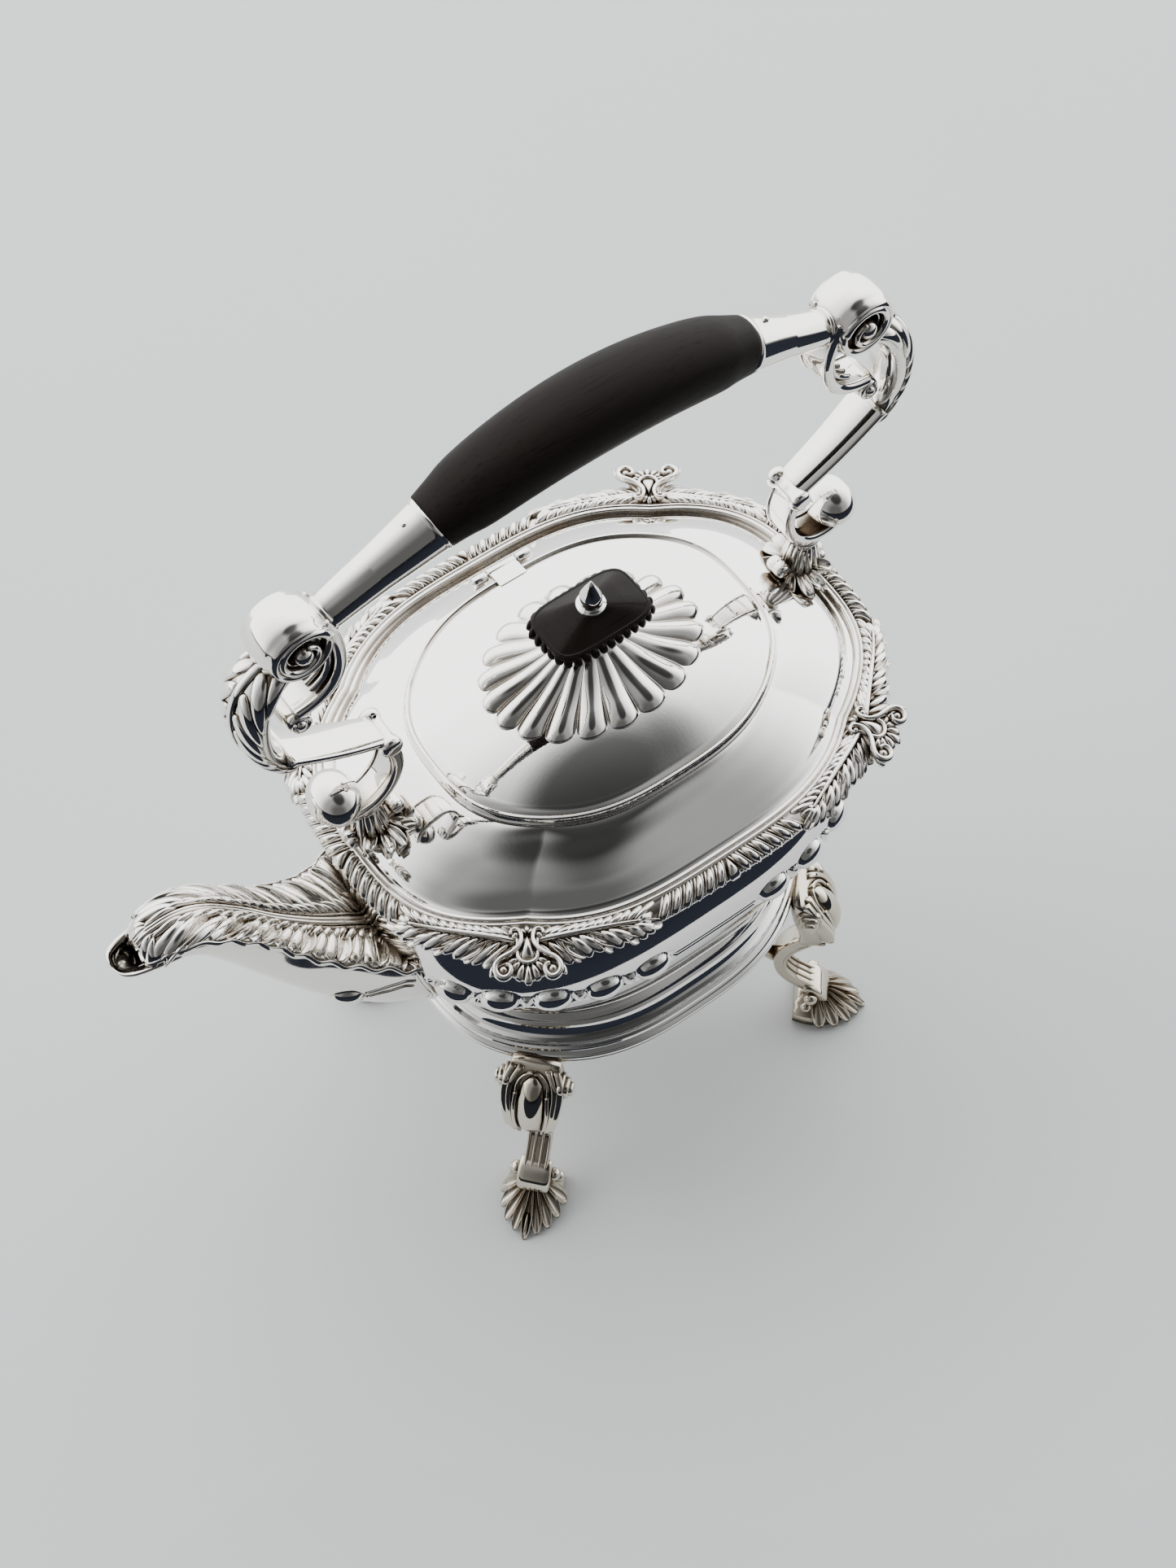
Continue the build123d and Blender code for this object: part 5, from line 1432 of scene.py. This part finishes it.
def compass(azimuth, elevation):
    """Unit direction from degrees: azimuth 0 is +X and 90 is +Y."""
    a, e = math.radians(azimuth), math.radians(elevation)
    return math.cos(e) * math.cos(a), math.cos(e) * math.sin(a), math.sin(e)


def light_dome():
    """Studio surround seen only in reflections: white all round, dim in front and overhead."""
    bpy.ops.mesh.primitive_uv_sphere_add(segments=48, ring_count=24, radius=DOME_RADIUS, location=(0, 0, 0))
    dome = bpy.context.object
    dome.name = "studio_dome"
    dome.visible_camera = False
    n = Nodes("studio_dome")
    direction = n.tree.nodes.new("ShaderNodeVectorMath")
    direction.operation = "NORMALIZE"
    n.set(direction.inputs[0], n.coords)

    def towards(vector):
        dot = n.tree.nodes.new("ShaderNodeVectorMath")
        dot.operation = "DOT_PRODUCT"
        n.set(dot.inputs[0], direction.outputs[0])
        dot.inputs[1].default_value = vector
        return dot.outputs["Value"]

    def soft(value, low, high, to_low, to_high):
        out = n.remap(value, low, high, to_low, to_high)
        out.node.interpolation_type = "SMOOTHSTEP"
        return out

    front = towards(compass(245, 18))
    level = n.math("MULTIPLY", soft(front, -0.25, 0.7, 3.6, 0.40), soft(front, 0.72, 0.97, 1.0, 0.30))
    above = soft(towards(compass(272, 66)), 0.87, 0.965, 1.0, 0.12)
    height = n.add("ShaderNodeSeparateXYZ", Vector=direction.outputs[0]).outputs["Z"]
    edge = n.math("MAXIMUM", soft(height, 0.03, 0.09, 0.06, 1.0), soft(front, -0.5, -0.1, 1.0, 0.0))
    strength = n.math("MULTIPLY", n.math("MULTIPLY", level, above), edge)
    glow = n.tree.nodes.new("ShaderNodeEmission")
    glow.inputs["Color"].default_value = (0.975, 0.99, 1.0, 1)
    n.set(glow.inputs["Strength"], strength)
    out = next(node for node in n.tree.nodes if node.type == "OUTPUT_MATERIAL")
    n.set(out.inputs["Surface"], glow.outputs[0])
    dome.data.materials.append(n.material)


# Outline of a dark card on the floor, in millimetres about the pot: beyond it the silver mirrors painted
# shade instead of the pale floor
SHADE_CARD_OUTLINE = [(-3800, -70), (-700, -70), (-312, -79), (-218, -90), (-172, -104), (-141, -133),
              (-112, -166), (-73, -208), (-22, -252), (34, -274), (94, -277), (700, -290), (3800, -290),
              (3800, -3800), (-3800, -3800)]


def painted_shade_card():
    """Dark card on the floor, seen only in the silver: painted shade in its reflections."""
    mesh = bpy.data.meshes.new("shade_reflection_card")
    mesh.from_pydata([(x * MM + POT_X, y * MM, 0.0015) for x, y in SHADE_CARD_OUTLINE], [], [range(len(SHADE_CARD_OUTLINE))])
    card = bpy.data.objects.new("shade_reflection_card", mesh)
    bpy.context.scene.collection.objects.link(card)
    card.visible_camera = False
    card.visible_diffuse = False
    card.visible_shadow = False
    card.visible_transmission = False
    n = Nodes("shade_reflection_card")
    # painted shade: the card's near-black tones are what the silver mirrors below the border
    dark = n.mix(n.noise(2.0, 2.0), (0.010, 0.012, 0.018, 1), (0.018, 0.020, 0.028, 1))
    n.set(n.shader.inputs["Base Color"], dark)
    n.shader.inputs["Roughness"].default_value = 0.9
    n.shader.inputs["Specular IOR Level"].default_value = 0.0
    mesh.materials.append(n.material)


def set_stage():
    bpy.ops.mesh.primitive_circle_add(vertices=128, radius=FLOOR_RADIUS, fill_type="NGON", location=(0, 0, 0))
    floor = bpy.context.object
    floor.name = "floor"
    n = Nodes("floor")
    grey = n.mix(n.noise(3.0, 2.0), (0.57, 0.585, 0.585, 1), (0.60, 0.615, 0.615, 1))
    n.set(n.shader.inputs["Base Color"], grey)
    n.shader.inputs["Roughness"].default_value = 0.6
    n.shader.inputs["Specular IOR Level"].default_value = 0.2
    floor.data.materials.append(n.material)
    # dark card seen only in the silver: painted shade in its reflections
    painted_shade_card()
    world = bpy.data.worlds.new("world")
    bpy.context.scene.world = world
    world.use_nodes = True
    world.node_tree.nodes["Background"].inputs[0].default_value = (0.82, 0.835, 0.84, 1)
    world.node_tree.nodes["Background"].inputs[1].default_value = 1.1
    light_dome()
    key_light()


# ---------------------------------------------------------------- the whole
silver = silver_material("silver_plain")
chased = silver_material("silver_chased")
worn = silver_material("silver_worn")
ebony = ebony_material("ebony_satin", False)
ebony_gloss = ebony_material("ebony_gloss", True)
cotton = cotton_material()
SLOT_MATERIAL = {"silver": silver, "ebony": ebony, "wick_cotton": cotton}
for row in frame["record"]["subparts"]:
    node = frame["nodes"][row["node"]]
    node.data.materials.clear()
    node.data.materials.append(SLOT_MATERIAL[row["material_slot"]])

pot_body(silver)
shoulder(silver)
rim_border(chased)
foot_rim(silver)
spout(chased)
hinge(silver)
lid(silver, chased)
finial(silver, chased, ebony_gloss)
for name, hand in (("left", -1), ("right", 1)):
    arm(name, hand, chased)
grip(ebony, silver)
stand(silver, worn)
burner(silver, cotton)
set_stage()
set_camera()
